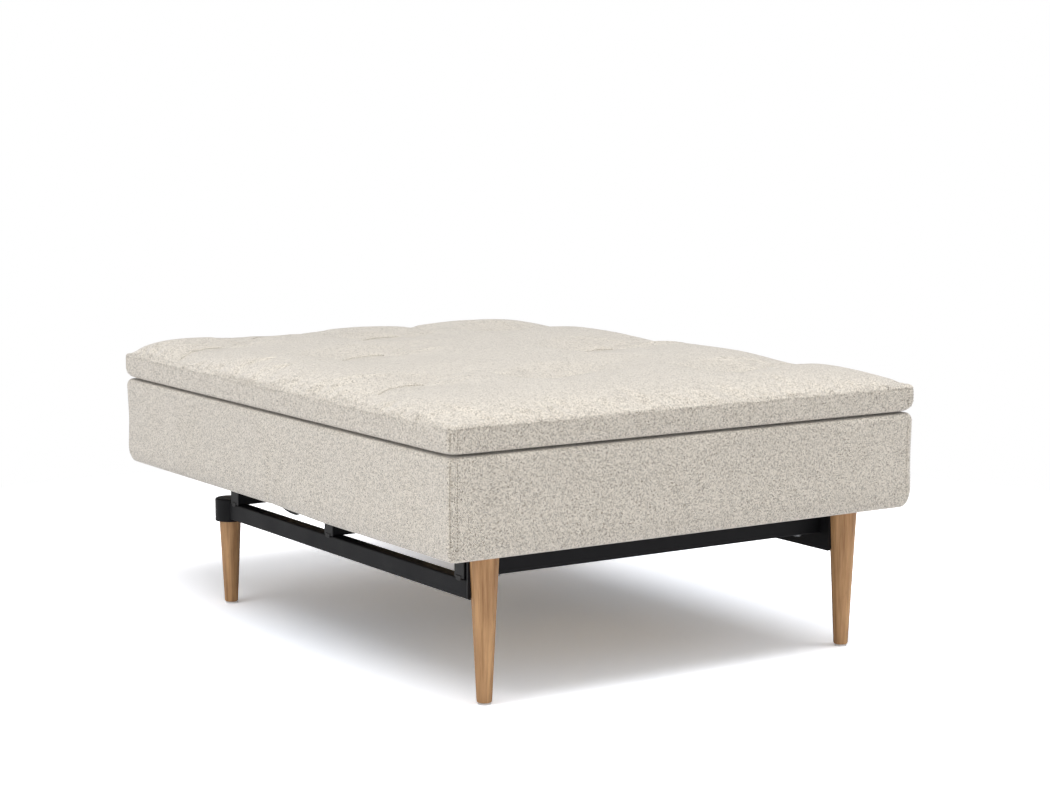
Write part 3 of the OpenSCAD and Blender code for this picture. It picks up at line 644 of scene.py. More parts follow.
# A dimple's section: the share that is a sharp crease, how fast that and the rest fall off with
# the distance in reaches, and the distance past which nothing is left
CREASE_SHARE, CREASE_FALL, DIMPLE_FALL, DIMPLE_END = 0.30, 9.0, 1.9, 2.4

# Slow waves in the box's filled sides: their heights, and how far the sides are drawn in for
# them, in metres
LONG_WAVE, SHORT_WAVE, WAVE_INSET = 0.0012, 0.0008, 0.0016

# Pinch in the box's sides near the hinge: its depth, width, place and lean, in metres
PINCH_DEPTH, PINCH_WIDTH, PINCH_Y, PINCH_LEAN = 0.0026, 0.006, 0.012, 0.05

# How far in from the box's edge the sag of the underside starts, the width over which it grows,
# how high up the sides it reaches, and how far before the bed's middle it is full, in metres
SAG_FROM, SAG_RISE, SAG_TALL, SAG_FADE = 0.085, 0.065, 0.05, 0.16


def side_steps(half, radius, middles):
    """Places along one side, closest together beside the seam in each corner."""
    flat = half - radius
    corner = [flat + radius * share for share in CORNER_SHARES]
    inner = [flat * m for m in middles]
    return [-c for c in reversed(corner)] + inner + corner


def round_plan(x, y, half_x, half_y, radius):
    """Moves a point of a rectangle onto the one with rounded plan corners."""
    a = max(0.0, (abs(x) - half_x + radius) / radius)
    b = max(0.0, (abs(y) - half_y + radius) / radius)
    quarter = math.pi / 4
    return (
        math.copysign(min(abs(x), half_x - radius) + radius * a * math.cos(quarter * b), x),
        math.copysign(min(abs(y), half_y - radius) + radius * b * math.cos(quarter * a), y),
    )


def foot_round(z, rise, inset, steps):
    """Profile that rounds from an underside into the side above it, as (height, inset)."""
    turns = [math.pi / 2 * k / steps for k in range(steps + 1)]
    return [(z + rise * (1 - math.cos(t)), inset * (1 - math.sin(t))) for t in turns]


def top_round(z, drop, inset, steps):
    """Profile that rounds from a side into the top face, as (height, inset)."""
    turns = [math.pi / 2 * k / steps for k in range(steps + 1)]
    return [(z - drop * (1 - math.sin(t)), inset * (1 - math.cos(t))) for t in turns]


def padded_form(name, profile, radius, middles_x, middles_y, groove, lift):
    """Closed pad over the whole bed: sides that follow a profile, and gridded faces above and below."""
    mid_y, half_y = (FRONT_Y + REAR_Y) / 2, (REAR_Y - FRONT_Y) / 2
    rings = []
    for z, inset in profile:
        half_x, deep = HALF_W - inset, half_y - inset
        xs = side_steps(half_x, radius, middles_x)
        ys = side_steps(deep, radius, middles_y)
        rings.append((z, half_x, deep, xs, ys))
    nx, ny = len(rings[0][3]) - 1, len(rings[0][4]) - 1
    border = (
        [(i, 0) for i in range(nx)]
        + [(nx, j) for j in range(ny)]
        + [(i, ny) for i in range(nx, 0, -1)]
        + [(0, j) for j in range(ny, 0, -1)]
    )
    bm = bmesh.new()

    def vertex(ring, i, j, raise_by=None):
        z, half_x, deep, xs, ys = ring
        x, y = round_plan(xs[i], ys[j], half_x, deep, radius)
        if i in (0, nx) and j in (0, ny):
            x -= math.copysign(groove, x)
            y -= math.copysign(groove, y)
        y += mid_y
        if raise_by is not None:
            z += raise_by(x, y)
        return bm.verts.new((x, y, z))

    low = {(i, j): vertex(rings[0], i, j) for j in range(ny + 1) for i in range(nx + 1)}
    high = {(i, j): vertex(rings[-1], i, j, lift) for j in range(ny + 1) for i in range(nx + 1)}
    for j in range(ny):
        for i in range(nx):
            corners = ((i, j), (i, j + 1), (i + 1, j + 1), (i + 1, j))
            bm.faces.new([low[c] for c in corners])
            bm.faces.new([high[c] for c in reversed(corners)])
    loops = [[low[c] for c in border]]
    loops += [[vertex(ring, *c) for c in border] for ring in rings[1:-1]]
    loops.append([high[c] for c in border])
    for below, above in zip(loops, loops[1:]):
        for k in range(len(border)):
            n = (k + 1) % len(border)
            bm.faces.new((below[k], below[n], above[n], above[k]))
    return from_bmesh(name, bm)


def border_steps(count):
    """Shares from -1 to 1 that lie closer together towards both ends."""
    even = [2 * k / count - 1 for k in range(count + 1)]
    return [0.5 * t + 0.5 * math.sin(t * math.pi / 2) for t in even]


def drawn_steps(places, half, reach, coarse, fine, closest=0.3):
    """Shares from -1 to 1, fine near the given places: finest within a share of the reach."""
    out, at = [], -half
    while at < half - coarse / 2:
        out.append(at / half)
        near = min(abs(at - p) for p in places)
        at += fine + (coarse - fine) * min(1.0, max(0.0, near / reach - closest))
    return out + [1.0]


def tuft_path(tuft, topper):
    """Arched line of stitches, and the fold that fades behind it, as (x, y, pull)."""
    half = topper.tuft_half
    arch = topper.arch * half
    line = [
        (tuft.x + across * half, tuft.y + back * half + arch * bent, tuft.pull)
        for across, back, bent in STITCH_SHARES
    ]
    across, back = FOLD_SHARES
    return line + [(tuft.x + across * half, tuft.y + back * half, tuft.fold)]


def stitch_path(tuft, topper):
    """The stitched part of a quilting line."""
    return tuft_path(tuft, topper)[:len(STITCH_SHARES)]


def near_segment(x, y, start, end):
    """Distance from a point to a line, the line's pull there, and the side that the point is on."""
    run_x, run_y = end[0] - start[0], end[1] - start[1]
    along = ((x - start[0]) * run_x + (y - start[1]) * run_y) / (run_x * run_x + run_y * run_y)
    along = min(1.0, max(0.0, along))
    gap = math.hypot(x - start[0] - along * run_x, y - start[1] - along * run_y)
    cross = run_x * (y - start[1]) - run_y * (x - start[0])
    side = cross / math.hypot(run_x, run_y) / max(gap, SAME_POINT)
    return gap, start[2] + (end[2] - start[2]) * along, side


def topper_lift(settings):
    """Height of the topper's face over its border: a crown less the dimple of each line."""
    topper = settings.topper
    paths = [(tuft_path(tuft, topper), tuft.drawn) for tuft in TUFTS]
    fold = len(STITCH_SHARES) - 1

    def lift(x, y):
        u, v = min(1.0, abs(x) / HALF_W), min(1.0, abs(y) / REAR_Y)
        across = CROWN_RIGHT if x > 0 else CROWN_LEFT
        along = CROWN_REAR if y > 0 else CROWN_FRONT
        crown = topper.crown * (1 - u ** across) * (1 - v ** along)
        pull = 0.0
        for path, drawn in paths:
            for index, (start, end) in enumerate(zip(path, path[1:])):
                gap, weight, side = near_segment(x, y, start, end)
                lean = 0.0 if index == fold else drawn
                front = lean * min(1.0, max(0.0, -side))
                behind = lean * min(1.0, max(0.0, side))
                far = gap / topper.tuft_reach / (1.0 + DRAWN_OUT * front - DRAWN_IN * behind)
                if far < DIMPLE_END:
                    sharp = CREASE_SHARE * (1.0 - front)
                    crease = sharp * math.exp(-CREASE_FALL * far)
                    dip = crease + (1.0 - sharp) * math.exp(-DIMPLE_FALL * far * far)
                    pull = max(pull, weight * dip)
        edge = min(1.0, CROWN_FULL * crown / topper.crown)
        return crown - topper.tuft_depth * pull * edge

    return lift


def tuck_corners(piece, level, depth, reach=0.05, tall=0.020):
    """Draws a pad's corners in near the gap between the box and the topper."""
    for vertex in piece.data.vertices:
        x, y, z = vertex.co
        near = 1.0 - math.hypot(HALF_W - abs(x), REAR_Y - abs(y)) / reach
        close = 1.0 - abs(z - level) / tall
        if near > 0.0 and close > 0.0:
            draw = depth * near * near * close * close
            vertex.co.x -= math.copysign(draw, x)
            vertex.co.y -= math.copysign(draw, y)


# Cloth of the topper while it is filled
FILLING = {
    "quality": 6, "mass": 0.35, "tension_stiffness": 18.0, "compression_stiffness": 18.0,
    "shear_stiffness": 6.0, "bending_stiffness": 0.6, "use_pressure": True,
    "vertex_group_mass": "held", "pin_stiffness": 2.0, "shrink_min": -0.022,
}


def simulate_fill(piece, settings, pinned, frames=16):
    """Fills a pad with Blender's cloth: held where it is sewn or rests, swollen between."""
    topper = settings.topper
    start = np.array([v.co for v in piece.data.vertices])
    group = piece.vertex_groups.new(name="held")
    for index, weight in enumerate(pinned):
        if weight > 0.0:
            group.add([index], weight, "REPLACE")
    modifier = piece.modifiers.new("fill", "CLOTH")
    cloth = modifier.settings
    for name, value in FILLING.items():
        setattr(cloth, name, value)
    cloth.uniform_pressure_force = topper.pressure
    cloth.effector_weights.gravity = 0.0
    modifier.collision_settings.use_collision = False
    scene = bpy.context.scene
    scene.frame_start, scene.frame_end = 1, frames
    for step in range(1, frames + 1):
        scene.frame_set(step)
    graph = bpy.context.evaluated_depsgraph_get()
    moved = piece.evaluated_get(graph).to_mesh()
    ended = np.array([v.co for v in moved.vertices])
    piece.evaluated_get(graph).to_mesh_clear()
    piece.modifiers.clear()
    scene.frame_set(1)
    travel = ended - start
    far = np.linalg.norm(travel, axis=1, keepdims=True)
    travel *= np.minimum(1.0, topper.cap / np.maximum(far, TINY))
    piece.data.vertices.foreach_set("co", (start + travel).astype(np.float32).ravel())
    piece.vertex_groups.clear()
    piece.data.update()


def dress_cloth(piece, settings, nodes):
    """Gives a finished pad its cloth, lays its UVs flat, and hides the frame parts that it stands for.
    """
    piece.data.materials.clear()
    piece.data.materials.append(cloth_material(settings))
    cloth_uv(piece.data)
    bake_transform(piece)
    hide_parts(*nodes)


class CHAIRBED_OT_topper(bpy.types.Operator):
    """Makes the stitched topper pad and fills it"""

    bl_idname = "chair_bed.topper"
    bl_label = "Topper"
    columns = 116
    side_shares = (0.36, 0.48, 0.6, 0.75)  # heights of the points in the border, as shares of it
    foot_share = 0.35  # share of the border, from below, that is held fast
    border_share = 0.98  # share of the border, from below, that is held in part or fast
    border_hold = 0.5  # how firmly a point is held that is held in part
    stitch_hold = 0.0045  # a point this close to a stitch is held fast, in metres
    seam_drop = 0.0005  # how far the border's seam lies below its rounding, in metres
    seam_wide = 1.3  # half width of the seam's groove, in depths

    def execute(self, context):
        settings = context.scene.chair_bed
        topper = settings.topper
        flat_y = (REAR_Y - FRONT_Y) / 2 - topper.inset - topper.corner
        places = [tuft.y for tuft in TUFTS] + [-flat_y, flat_y]
        rows = drawn_steps(places, flat_y, reach=0.034, coarse=0.010, fine=0.004)
        edge_top = TOPPER_FOOT + topper.edge
        profile = foot_round(TOPPER_FOOT, topper.foot_round, topper.foot_inset, steps=6)
        profile += [(TOPPER_FOOT + topper.edge * share, 0.0) for share in self.side_shares]
        profile += self.border_seam(topper, edge_top)
        profile += top_round(edge_top, topper.round, topper.inset, steps=5)[1:]
        piece = padded_form(
            "topper", profile, topper.corner, border_steps(self.columns), rows, topper.groove,
            topper_lift(settings),
        )
        tuck_corners(piece, TOPPER_FOOT, topper.tuck)
        simulate_fill(piece, settings, self.held(piece, settings))
        dress_cloth(piece, settings, ["seat_topper", "back_topper"])
        return {"FINISHED"}

    def border_seam(self, topper, edge_top):
        """Narrow groove where the border band is sewn to the upper cloth."""
        at = edge_top - topper.round - self.seam_drop
        half = topper.groove * self.seam_wide
        return [(at - half, 0.0), (at, topper.groove), (at + half, 0.0)]

    def held(self, piece, settings):
        """How firmly each point is held: the underside and the stitches fully, the border in part."""
        topper = settings.topper
        paths = [stitch_path(tuft, topper) for tuft in TUFTS]
        lines = [line for path in paths for line in zip(path, path[1:])]
        out = []
        for vertex in piece.data.vertices:
            x, y, z = vertex.co
            hold = 0.0
            if z < TOPPER_FOOT + topper.edge * self.foot_share:
                hold = 1.0
            elif z < TOPPER_FOOT + topper.edge * self.border_share:
                hold = self.border_hold
            gap = min(near_segment(x, y, *line)[0] for line in lines)
            hold = 1.0 if gap < self.stitch_hold else max(hold, 1.0 - gap / topper.tuft_reach)
            out.append(hold)
        return out


class CHAIRBED_OT_mattress(bpy.types.Operator):
    """Makes the thick cloth-covered mattress box"""

    bl_idname = "chair_bed.mattress"
    bl_label = "Mattress box"
    columns = 72
    side_rows = 6
    rim_width = 0.04  # width over which the rim rises, in metres
    rim_start = 0.25  # share of that width that stays low
    side_from = (0.93, 0.94)  # shares of the half width and length past which the sides begin
    pinch_full, pinch_fade = 1.25, 1.9  # strength of the pinch at the foot, and its loss upwards

    def execute(self, context):
        settings = context.scene.chair_bed
        box = settings.box
        flat_y = (REAR_Y - FRONT_Y) / 2 - box.foot_inset - box.corner
        rows = drawn_steps([0.0, -flat_y, flat_y], flat_y, reach=0.030, coarse=0.016, fine=0.004)
        low = BOX_FOOT + box.foot_round
        high = BOX_TOP - box.top_round
        profile = foot_round(BOX_FOOT, box.foot_round, box.foot_inset, steps=8)
        count = self.side_rows
        profile += [(low + (high - low) * k / count, 0.0) for k in range(1, count)]
        profile += top_round(BOX_TOP - box.rim_drop, box.top_round, box.top_inset, steps=6)
        piece = padded_form(
            "mattress_box", profile, box.corner, border_steps(self.columns), rows, box.groove,
            self.rim(box),
        )
        self.soften(piece, box)
        tuck_corners(piece, BOX_TOP, settings.topper.tuck)
        dress_cloth(
            piece, settings, ["seat_mattress", "back_mattress", "seat_core", "back_core"]
        )
        return {"FINISHED"}

    def rim(self, box):
        """Raises the top from its rim to its full height, so that a dark gap shows under the topper."""

        def lift(x, y):
            inward = min(HALF_W - abs(x), REAR_Y - abs(y)) - box.top_inset
            return box.rim_drop * min(1.0, max(0.0, inward / self.rim_width - self.rim_start))

        return lift

    def wave(self, along, long_pitch, long_turn, short_pitch, short_turn=0.0):
        """Unevenness of a filled side along its length."""
        long = LONG_WAVE * np.sin(along * long_pitch + long_turn)
        return long + SHORT_WAVE * np.sin(along * short_pitch + short_turn)

    def soften(self, piece, box):
        """Lets the sides wander, the rim of the underside hang, and the fold pinch the sides."""
        mesh = piece.data
        points = np.array([v.co for v in mesh.vertices])
        x, y, z = points.T
        tall = np.clip(1 - ((z - (BOX_FOOT + BOX_TOP) / 2) / ((BOX_TOP - BOX_FOOT) / 2)) ** 2, 0, 1)
        side_x = np.abs(x) / HALF_W > self.side_from[0]
        side_y = np.abs(y) / REAR_Y > self.side_from[1]
        wave_y = self.wave(y, long_pitch=17.0, long_turn=1.0, short_pitch=41.0)
        wave_x = self.wave(x, long_pitch=19.0, long_turn=2.0, short_pitch=37.0, short_turn=0.7)
        x[side_x] += np.sign(x[side_x]) * (tall * (wave_y - WAVE_INSET))[side_x]
        y[side_y] += np.sign(y[side_y]) * (tall * (wave_x - WAVE_INSET))[side_y]
        rise = (z - BOX_FOOT) / (BOX_TOP - BOX_FOOT)
        pinch = np.exp(-(((y - PINCH_Y + PINCH_LEAN * rise) / PINCH_WIDTH) ** 2))
        pinch *= np.clip(self.pinch_full - self.pinch_fade * rise, 0, 1)
        x[side_x] -= np.sign(x[side_x]) * (PINCH_DEPTH * pinch)[side_x]
        outward = np.maximum(np.abs(x) - HALF_W, np.abs(y) - REAR_Y)
        hang = np.clip((outward + SAG_FROM) / SAG_RISE, 0, 1)
        low = np.clip(1 - (z - BOX_FOOT) / SAG_TALL, 0, 1) * np.clip(-y / SAG_FADE, 0, 1)
        z -= box.sag * hang * hang * (3 - 2 * hang) * low
        mesh.vertices.foreach_set("co", np.stack([x, y, z], 1).astype(np.float32).ravel())
        mesh.update()


# Stage

# Distances from the middle of the floor between which its painted shadow fades out, and between
# which it turns plain white, in metres
PAINTED_SHADOW_FADE = (0.35, 0.95)
WHITE_FADE = (1.0, 1.8)
WHITE = (1.0, 1.0, 1.0)


class CHAIRBED_OT_stage(bpy.types.Operator):
    """Sets the camera, the pale floor and the soft light"""

    bl_idname = "chair_bed.stage"
    bl_label = "Stage"
    camera_place = (-2.2698, -3.5616, 0.9437)
    camera_turn = (82.44, 0.0, -33.15)  # in degrees
    lens = 82.91  # in millimetres, on a sensor 36 mm wide
    floor_size = 14.0

    def execute(self, context):
        settings = context.scene.chair_bed
        self.camera(context)
        self.floor(settings)
        self.lamps(context, settings)
        self.sky(context, settings)
        context.scene.view_settings.view_transform = "Standard"
        return {"FINISHED"}

    def camera(self, context):
        data = bpy.data.cameras.new("camera")
        data.sensor_width = 36.0
        data.lens = self.lens
        data.clip_end = 60.0
        camera = bpy.data.objects.new("camera", data)
        camera.location = self.camera_place
        camera.rotation_euler = [math.radians(angle) for angle in self.camera_turn]
        context.scene.collection.objects.link(camera)
        context.scene.camera = camera

    def floor(self, settings):
        """Lays a pale floor that the camera sees brightly lit, and white further off, its colour
        darkened under the bed as a painted shadow.
        """
        stage = settings.stage
        bm = bmesh.new()
        bmesh.ops.create_grid(bm, x_segments=1, y_segments=1, size=self.floor_size)
        floor = from_bmesh("floor", bm, smooth=False)
        material = bpy.data.materials.new("pale_floor")
        nodes = fresh_nodes(material)
        place = nodes.place()
        tone = nodes.between(nodes.noise(place, scale=2.0), 0.3, 0.7, to_low=0.995)
        far = nodes.value("ShaderNodeVectorMath", {0: place}, "Value", operation="LENGTH")
        # Painted shadow: near the middle the floor's colour darkens to the shadow colour, standing in
        # for the bed's shade
        pale = nodes.mix(nodes.between(far, *PAINTED_SHADOW_FADE), stage.shadow, stage.floor)
        pale = nodes.shade(pale, tone)
        lit = nodes.mix(1.0, pale, (stage.gain,) * 3, "MULTIPLY")
        matt, bright = [nodes.value("ShaderNodeBsdfDiffuse", {"Color": c}) for c in (pale, lit)]
        white = nodes.value("ShaderNodeEmission", {"Color": WHITE, "Strength": 1.0})
        away = nodes.between(far, *WHITE_FADE)
        seen = nodes.value("ShaderNodeMixShader", {0: away, 1: bright, 2: white})
        by_camera = nodes.value("ShaderNodeLightPath", output="Is Camera Ray")
        surface = nodes.value("ShaderNodeMixShader", {0: by_camera, 1: matt, 2: seen})
        nodes.add("ShaderNodeOutputMaterial", {"Surface": surface})
        floor.data.materials.append(material)

    def lamps(self, context, settings):
        for name, size, place, target in (
            ("key", (5.4, 1.2), (-0.2, -0.85, 3.2), (0.0, 0.0, 0.2)),
            ("side", (2.6, 1.2), (-3.6, 0.5, 0.85), (-0.3, 0.0, 0.3)),
            ("fill", (3.0, 1.6), (-2.0, -4.0, 1.0), (0.0, 0.0, 0.3)),
        ):
            self.lamp(context, name, getattr(settings.stage, name), size, place, target)

    def lamp(self, context, name, power, size, place, target):
        """Puts up a soft box of a size in metres, aimed at a point."""
        data = bpy.data.lights.new(name, "AREA")
        data.energy = power
        data.shape = "RECTANGLE"
        data.size, data.size_y = size
        lamp = bpy.data.objects.new(name, data)
        lamp.location = place
        toward = Vector(target) - Vector(place)
        lamp.rotation_euler = toward.to_track_quat("-Z", "Y").to_euler()
        context.scene.collection.objects.link(lamp)

    def sky(self, context, settings):
        """Even light from all round, which the camera and reflections see as white."""
        world = bpy.data.worlds.new("sky")
        context.scene.world = world
        nodes = fresh_nodes(world)
        rays = [
            nodes.value("ShaderNodeLightPath", output=ray)
            for ray in ("Is Camera Ray", "Is Glossy Ray")
        ]
        seen = nodes.math("MAXIMUM", *rays)
        strength = nodes.between(seen, 0.0, 1.0, settings.stage.daylight, 1.0)
        back = nodes.value("ShaderNodeBackground", {"Color": WHITE, "Strength": strength})
        nodes.add("ShaderNodeOutputWorld", {"Surface": back})


# Frame parts

FLAT_TURN = math.radians(0.4)  # faces that turn by less are one flat face
CRISP_TURN = math.radians(30)  # edges that turn by more are rounded off
SMOOTH_BELOW = 40.0  # edges that turn by fewer degrees are shaded smooth
LONG_EDGE = 0.2  # the corners of a tube are longer than this, in metres

# Width of the rounding along the edges of the wooden and the small pieces, in metres
EDGES = {
    "leg": 0.0004, "glide": 0.0008, "cap": 0.0009, "fitting": 0.0006, "pivot_pin": 0.0008,
    "washer": 0.0003, "nut": 0.0006, "pawl_pin": 0.0004,
}


def merged(node):
    """A copy of a frame part's mesh with its points joined and its flat faces whole."""
    bm = bmesh.new()
    bm.from_mesh(frame["nodes"][node].data)
    bmesh.ops.remove_doubles(bm, verts=bm.verts, dist=SAME_POINT)
    bmesh.ops.dissolve_limit(bm, angle_limit=FLAT_TURN, verts=bm.verts, edges=bm.edges)
    bm.normal_update()
    return bm


def crisp_edges(bm, chosen=None):
    """Edges that turn sharply, of those that are chosen."""
    return [
        e for e in bm.edges
        if e.is_manifold and e.calc_face_angle(0.0) > CRISP_TURN and (chosen is None or chosen(e))
    ]


def round_off(bm, edges, width, segments):
    """Rounds edges off to a width."""
    if edges and width > 0.0:
        bmesh.ops.bevel(
            bm, geom=edges, offset=width, offset_type="OFFSET", segments=segments, profile=0.5,
            affect="EDGES", clamp_overlap=True,
        )


def weigh_normals(piece):
    """Keeps the flat faces flat beside their rounded edges."""
    modifier = piece.modifiers.new("flats", "WEIGHTED_NORMAL")
    modifier.weight = 60
    modifier.keep_sharp = True
    bake(piece)


def stand_for(piece, node):
    """Lets a finished piece stand for a frame part and move with its body."""
    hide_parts(node)
    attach(piece, BODY_OF[node])


def eased(node, settings, width, wide_width=0.0, wide=None):
    """Stands for a frame part with its edges rounded, the chosen ones more than the rest."""
    bm = merged(node)
    if wide is not None:
        round_off(bm, crisp_edges(bm, wide), wide_width, segments=4)
    round_off(bm, crisp_edges(bm), width, segments=2)
    mesh = bpy.data.meshes.new(f"{node}_finished")
    bm.to_mesh(mesh)
    bm.free()
    piece = new_object(f"{node}_finished", mesh, FINISHES[SLOT_OF[node]](settings))
    shade_by_angle(piece, SMOOTH_BELOW)
    weigh_normals(piece)
    stand_for(piece, node)


def rims(node, foot):
    """Picks the outer edges round a part's top, and round its foot as well if asked."""
    low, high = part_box(node)

    def chosen(edge):
        heights = [vertex.co.z for vertex in edge.verts]
        at_top = min(heights) > high.z - ON_PLANE
        at_foot = foot and max(heights) < low.z + ON_PLANE
        return edge.is_convex and (at_top or at_foot)

    return chosen


def long_outer(edge):
    """Whether an edge is an outer corner along a tube."""
    return edge.is_convex and edge.calc_length() > LONG_EDGE


class CHAIRBED_OT_base_tubes(bpy.types.Operator):
    """Makes the side rails and crossbars of the base from rounded steel tube"""

    bl_idname = "chair_bed.base_tubes"
    bl_label = "Rails and crossbars"

    def execute(self, context):
        settings = context.scene.chair_bed
        steel = settings.steel
        for node in (
            "left_side_rail", "right_side_rail", "front_crossbar", "middle_crossbar", "rear_crossbar"
        ):
            eased(node, settings, steel.broken_edge, steel.roundness, long_outer)
        return {"FINISHED"}


class CHAIRBED_OT_slat_frames(bpy.types.Operator):
    """Makes the tubes of the seat's and the back's slat frames"""

    bl_idname = "chair_bed.slat_frames"
    bl_label = "Slat frames"

    def execute(self, context):
        settings = context.scene.chair_bed
        steel = settings.steel
        for half in ("seat", "back"):
            for side in ("left", "right", "front", "rear"):
                eased(f"{half}_{side}_tube", settings, steel.broken_edge, steel.roundness, long_outer)
        return {"FINISHED"}


class CHAIRBED_OT_leg_sockets(bpy.types.Operator):
    """Makes the saddle brackets behind the front legs and the closed cups over the rear legs"""

    bl_idname = "chair_bed.leg_sockets"
    bl_label = "Leg sockets"

    def execute(self, context):
        settings = context.scene.chair_bed
        steel = settings.steel
        for side in ("left", "right"):
            eased(f"front_{side}_leg_bracket", settings, steel.broken_edge)
            node = f"rear_{side}_leg_cup"
            eased(node, settings, steel.broken_edge, steel.cup_round, rims(node, foot=False))
        return {"FINISHED"}


class CHAIRBED_OT_legs(bpy.types.Operator):
    """Rounds the edges of the tapered oak legs and lays their felt glides"""

    bl_idname = "chair_bed.legs"
    bl_label = "Legs"

    def execute(self, context):
        settings = context.scene.chair_bed
        for end in ("front", "rear"):
            for side in ("left", "right"):
                node = f"{end}_{side}_leg"
                wide = settings.wood.chamfer
                eased(node, settings, EDGES["leg"], wide, rims(node, foot=True))
        eased("leg_glides", settings, EDGES["glide"])
        return {"FINISHED"}


class CHAIRBED_OT_small_fittings(bpy.types.Operator):
    """Makes the end caps, slat holders and rubber pads"""

    bl_idname = "chair_bed.small_fittings"
    bl_label = "Caps, holders and pads"

    def execute(self, context):
        settings = context.scene.chair_bed
        eased("crossbar_end_caps", settings, EDGES["cap"])
        for node in ("seat_slat_holders", "back_slat_holders", "seat_mount_pads", "back_stop_pads"):
            eased(node, settings, EDGES["fitting"])
        return {"FINISHED"}


class CHAIRBED_OT_hinges(bpy.types.Operator):
    """Makes the hinge plates, back arms, pawls, pins, washers and nuts"""

    bl_idname = "chair_bed.hinges"
    bl_label = "Hinges"

    def execute(self, context):
        settings = context.scene.chair_bed
        for side in ("left", "right"):
            for part in ("hinge_plate", "back_arm", "pawl"):
                eased(f"{side}_{part}", settings, settings.steel.broken_edge)
            eased(f"{side}_pivot_pin", settings, EDGES["pivot_pin"])
        eased("pivot_washers", settings, EDGES["washer"])
        eased("pivot_nuts", settings, EDGES["nut"])
        eased("pawl_pins", settings, EDGES["pawl_pin"])
        return {"FINISHED"}


# Parts that repeat


def new_shape_tree(name, inputs):
    """A geometry tree over points or lines that ends in one material."""
    ends = {"Geometry": "NodeSocketGeometry"}
    inputs = {**ends, **inputs, "Material": "NodeSocketMaterial"}
    return new_tree(name, "GeometryNodeTree", inputs, ends)


def place_pieces(nodes, given, inputs):
    """Ends a geometry tree: a piece at each point, made real, smooth and of its material."""
    placed = nodes.value("GeometryNodeInstanceOnPoints", inputs)
    real = nodes.value("GeometryNodeRealizeInstances", {"Geometry": placed})
    smooth = nodes.value("GeometryNodeSetShadeSmooth", {"Geometry": real})
    dressed = {"Geometry": smooth, "Material": given["Material"]}
    return nodes.finish({"Geometry": nodes.value("GeometryNodeSetMaterial", dressed)})


def grow(name, points, edges, tree, values, turns=None):
    """Runs a geometry node tree over points or lines and keeps the plain mesh that it makes."""
    mesh = bpy.data.meshes.new(name)
    mesh.from_pydata(points, edges, [])
    if turns is not None:
        layer = mesh.attributes.new("turn", "FLOAT_VECTOR", "POINT")
        layer.data.foreach_set("vector", [angle for turn in turns for angle in turn])
    piece = new_object(name, mesh)
    modifier = piece.modifiers.new(tree.name, "NODES")
    modifier.node_group = tree
    for socket in tree.interface.items_tree:
        if socket.name in values:
            modifier[socket.identifier] = values[socket.name]
    return bake(piece)


@once
def repeat_at_points(name):
    """Puts a pattern piece at each point, turned as the point's attribute says."""
    nodes, given = new_shape_tree(name, {"Pattern": "NodeSocketObject"})
    return place_pieces(nodes, given, {
        "Points": given["Geometry"],
        "Instance": nodes.value("GeometryNodeObjectInfo", {"Object": given["Pattern"]}, "Geometry"),
        "Rotation": nodes.value(
            "GeometryNodeInputNamedAttribute", {"Name": "turn"}, data_type="FLOAT_VECTOR"
        ),
    })


@once
def bowed_slats(name):
    """Puts a slat with rounded edges at each point, bowed up in the middle."""
    nodes, given = new_shape_tree(name, {
        "Half Length": NUMBER, "Width": NUMBER, "Thickness": NUMBER, "Bow": NUMBER,
        "Rounding": NUMBER,
    })
    half = given["Half Length"]
    ends = {"Start": nodes.vector(half * -1.0), "End": nodes.vector(half)}
    line = nodes.value("GeometryNodeCurvePrimitiveLine", ends)
    line = nodes.value("GeometryNodeResampleCurve", {"Curve": line, "Count": 21})
    out = nodes.split(nodes.value("GeometryNodeInputPosition"))[0] / half
    rise = nodes.vector(0.0, 0.0, (1.0 - out * out) * given["Bow"])
    line = nodes.value("GeometryNodeSetPosition", {"Geometry": line, "Offset": rise})
    line = nodes.value("GeometryNodeSetCurveNormal", {"Curve": line}, mode="Z_UP")
    section = nodes.value("GeometryNodeCurvePrimitiveQuadrilateral", {
        "Width": given["Width"], "Height": given["Thickness"]
    })
    rounded = nodes.value("GeometryNodeFilletCurve", {
        "Curve": section, "Radius": given["Rounding"], "Count": 4
    }, mode="POLY")
    slat = nodes.value("GeometryNodeCurveToMesh", {
        "Curve": line, "Profile Curve": rounded, "Fill Caps": True
    })
    return place_pieces(nodes, given, {"Points": given["Geometry"], "Instance": slat})


@once
def stitch_rows(name):
    """Lays one short stitch at every pitch along each line."""
    nodes, given = new_shape_tree(name, {"Pitch": NUMBER, "Stitch": NUMBER, "Radius": NUMBER})
    lines = nodes.value("GeometryNodeMeshToCurve", {"Mesh": given["Geometry"]})
    steps = {"Curve": lines, "Length": given["Pitch"]}
    bead = {"Segments": 6, "Rings": 5, "Radius": 1.0}
    drawn = nodes.value("GeometryNodeTransform", {
        "Geometry": nodes.value("GeometryNodeMeshUVSphere", bead, "Mesh"),
        "Scale": nodes.vector(given["Stitch"] * 0.5, given["Radius"], given["Radius"]),
    })
    along = {"Vector": nodes.value("GeometryNodeInputTangent")}
    return place_pieces(nodes, given, {
        "Points": nodes.value("GeometryNodeResampleCurve", steps, mode="LENGTH"),
        "Instance": drawn,
        "Rotation": nodes.value("FunctionNodeAlignRotationToVector", along, axis="X"),
    })


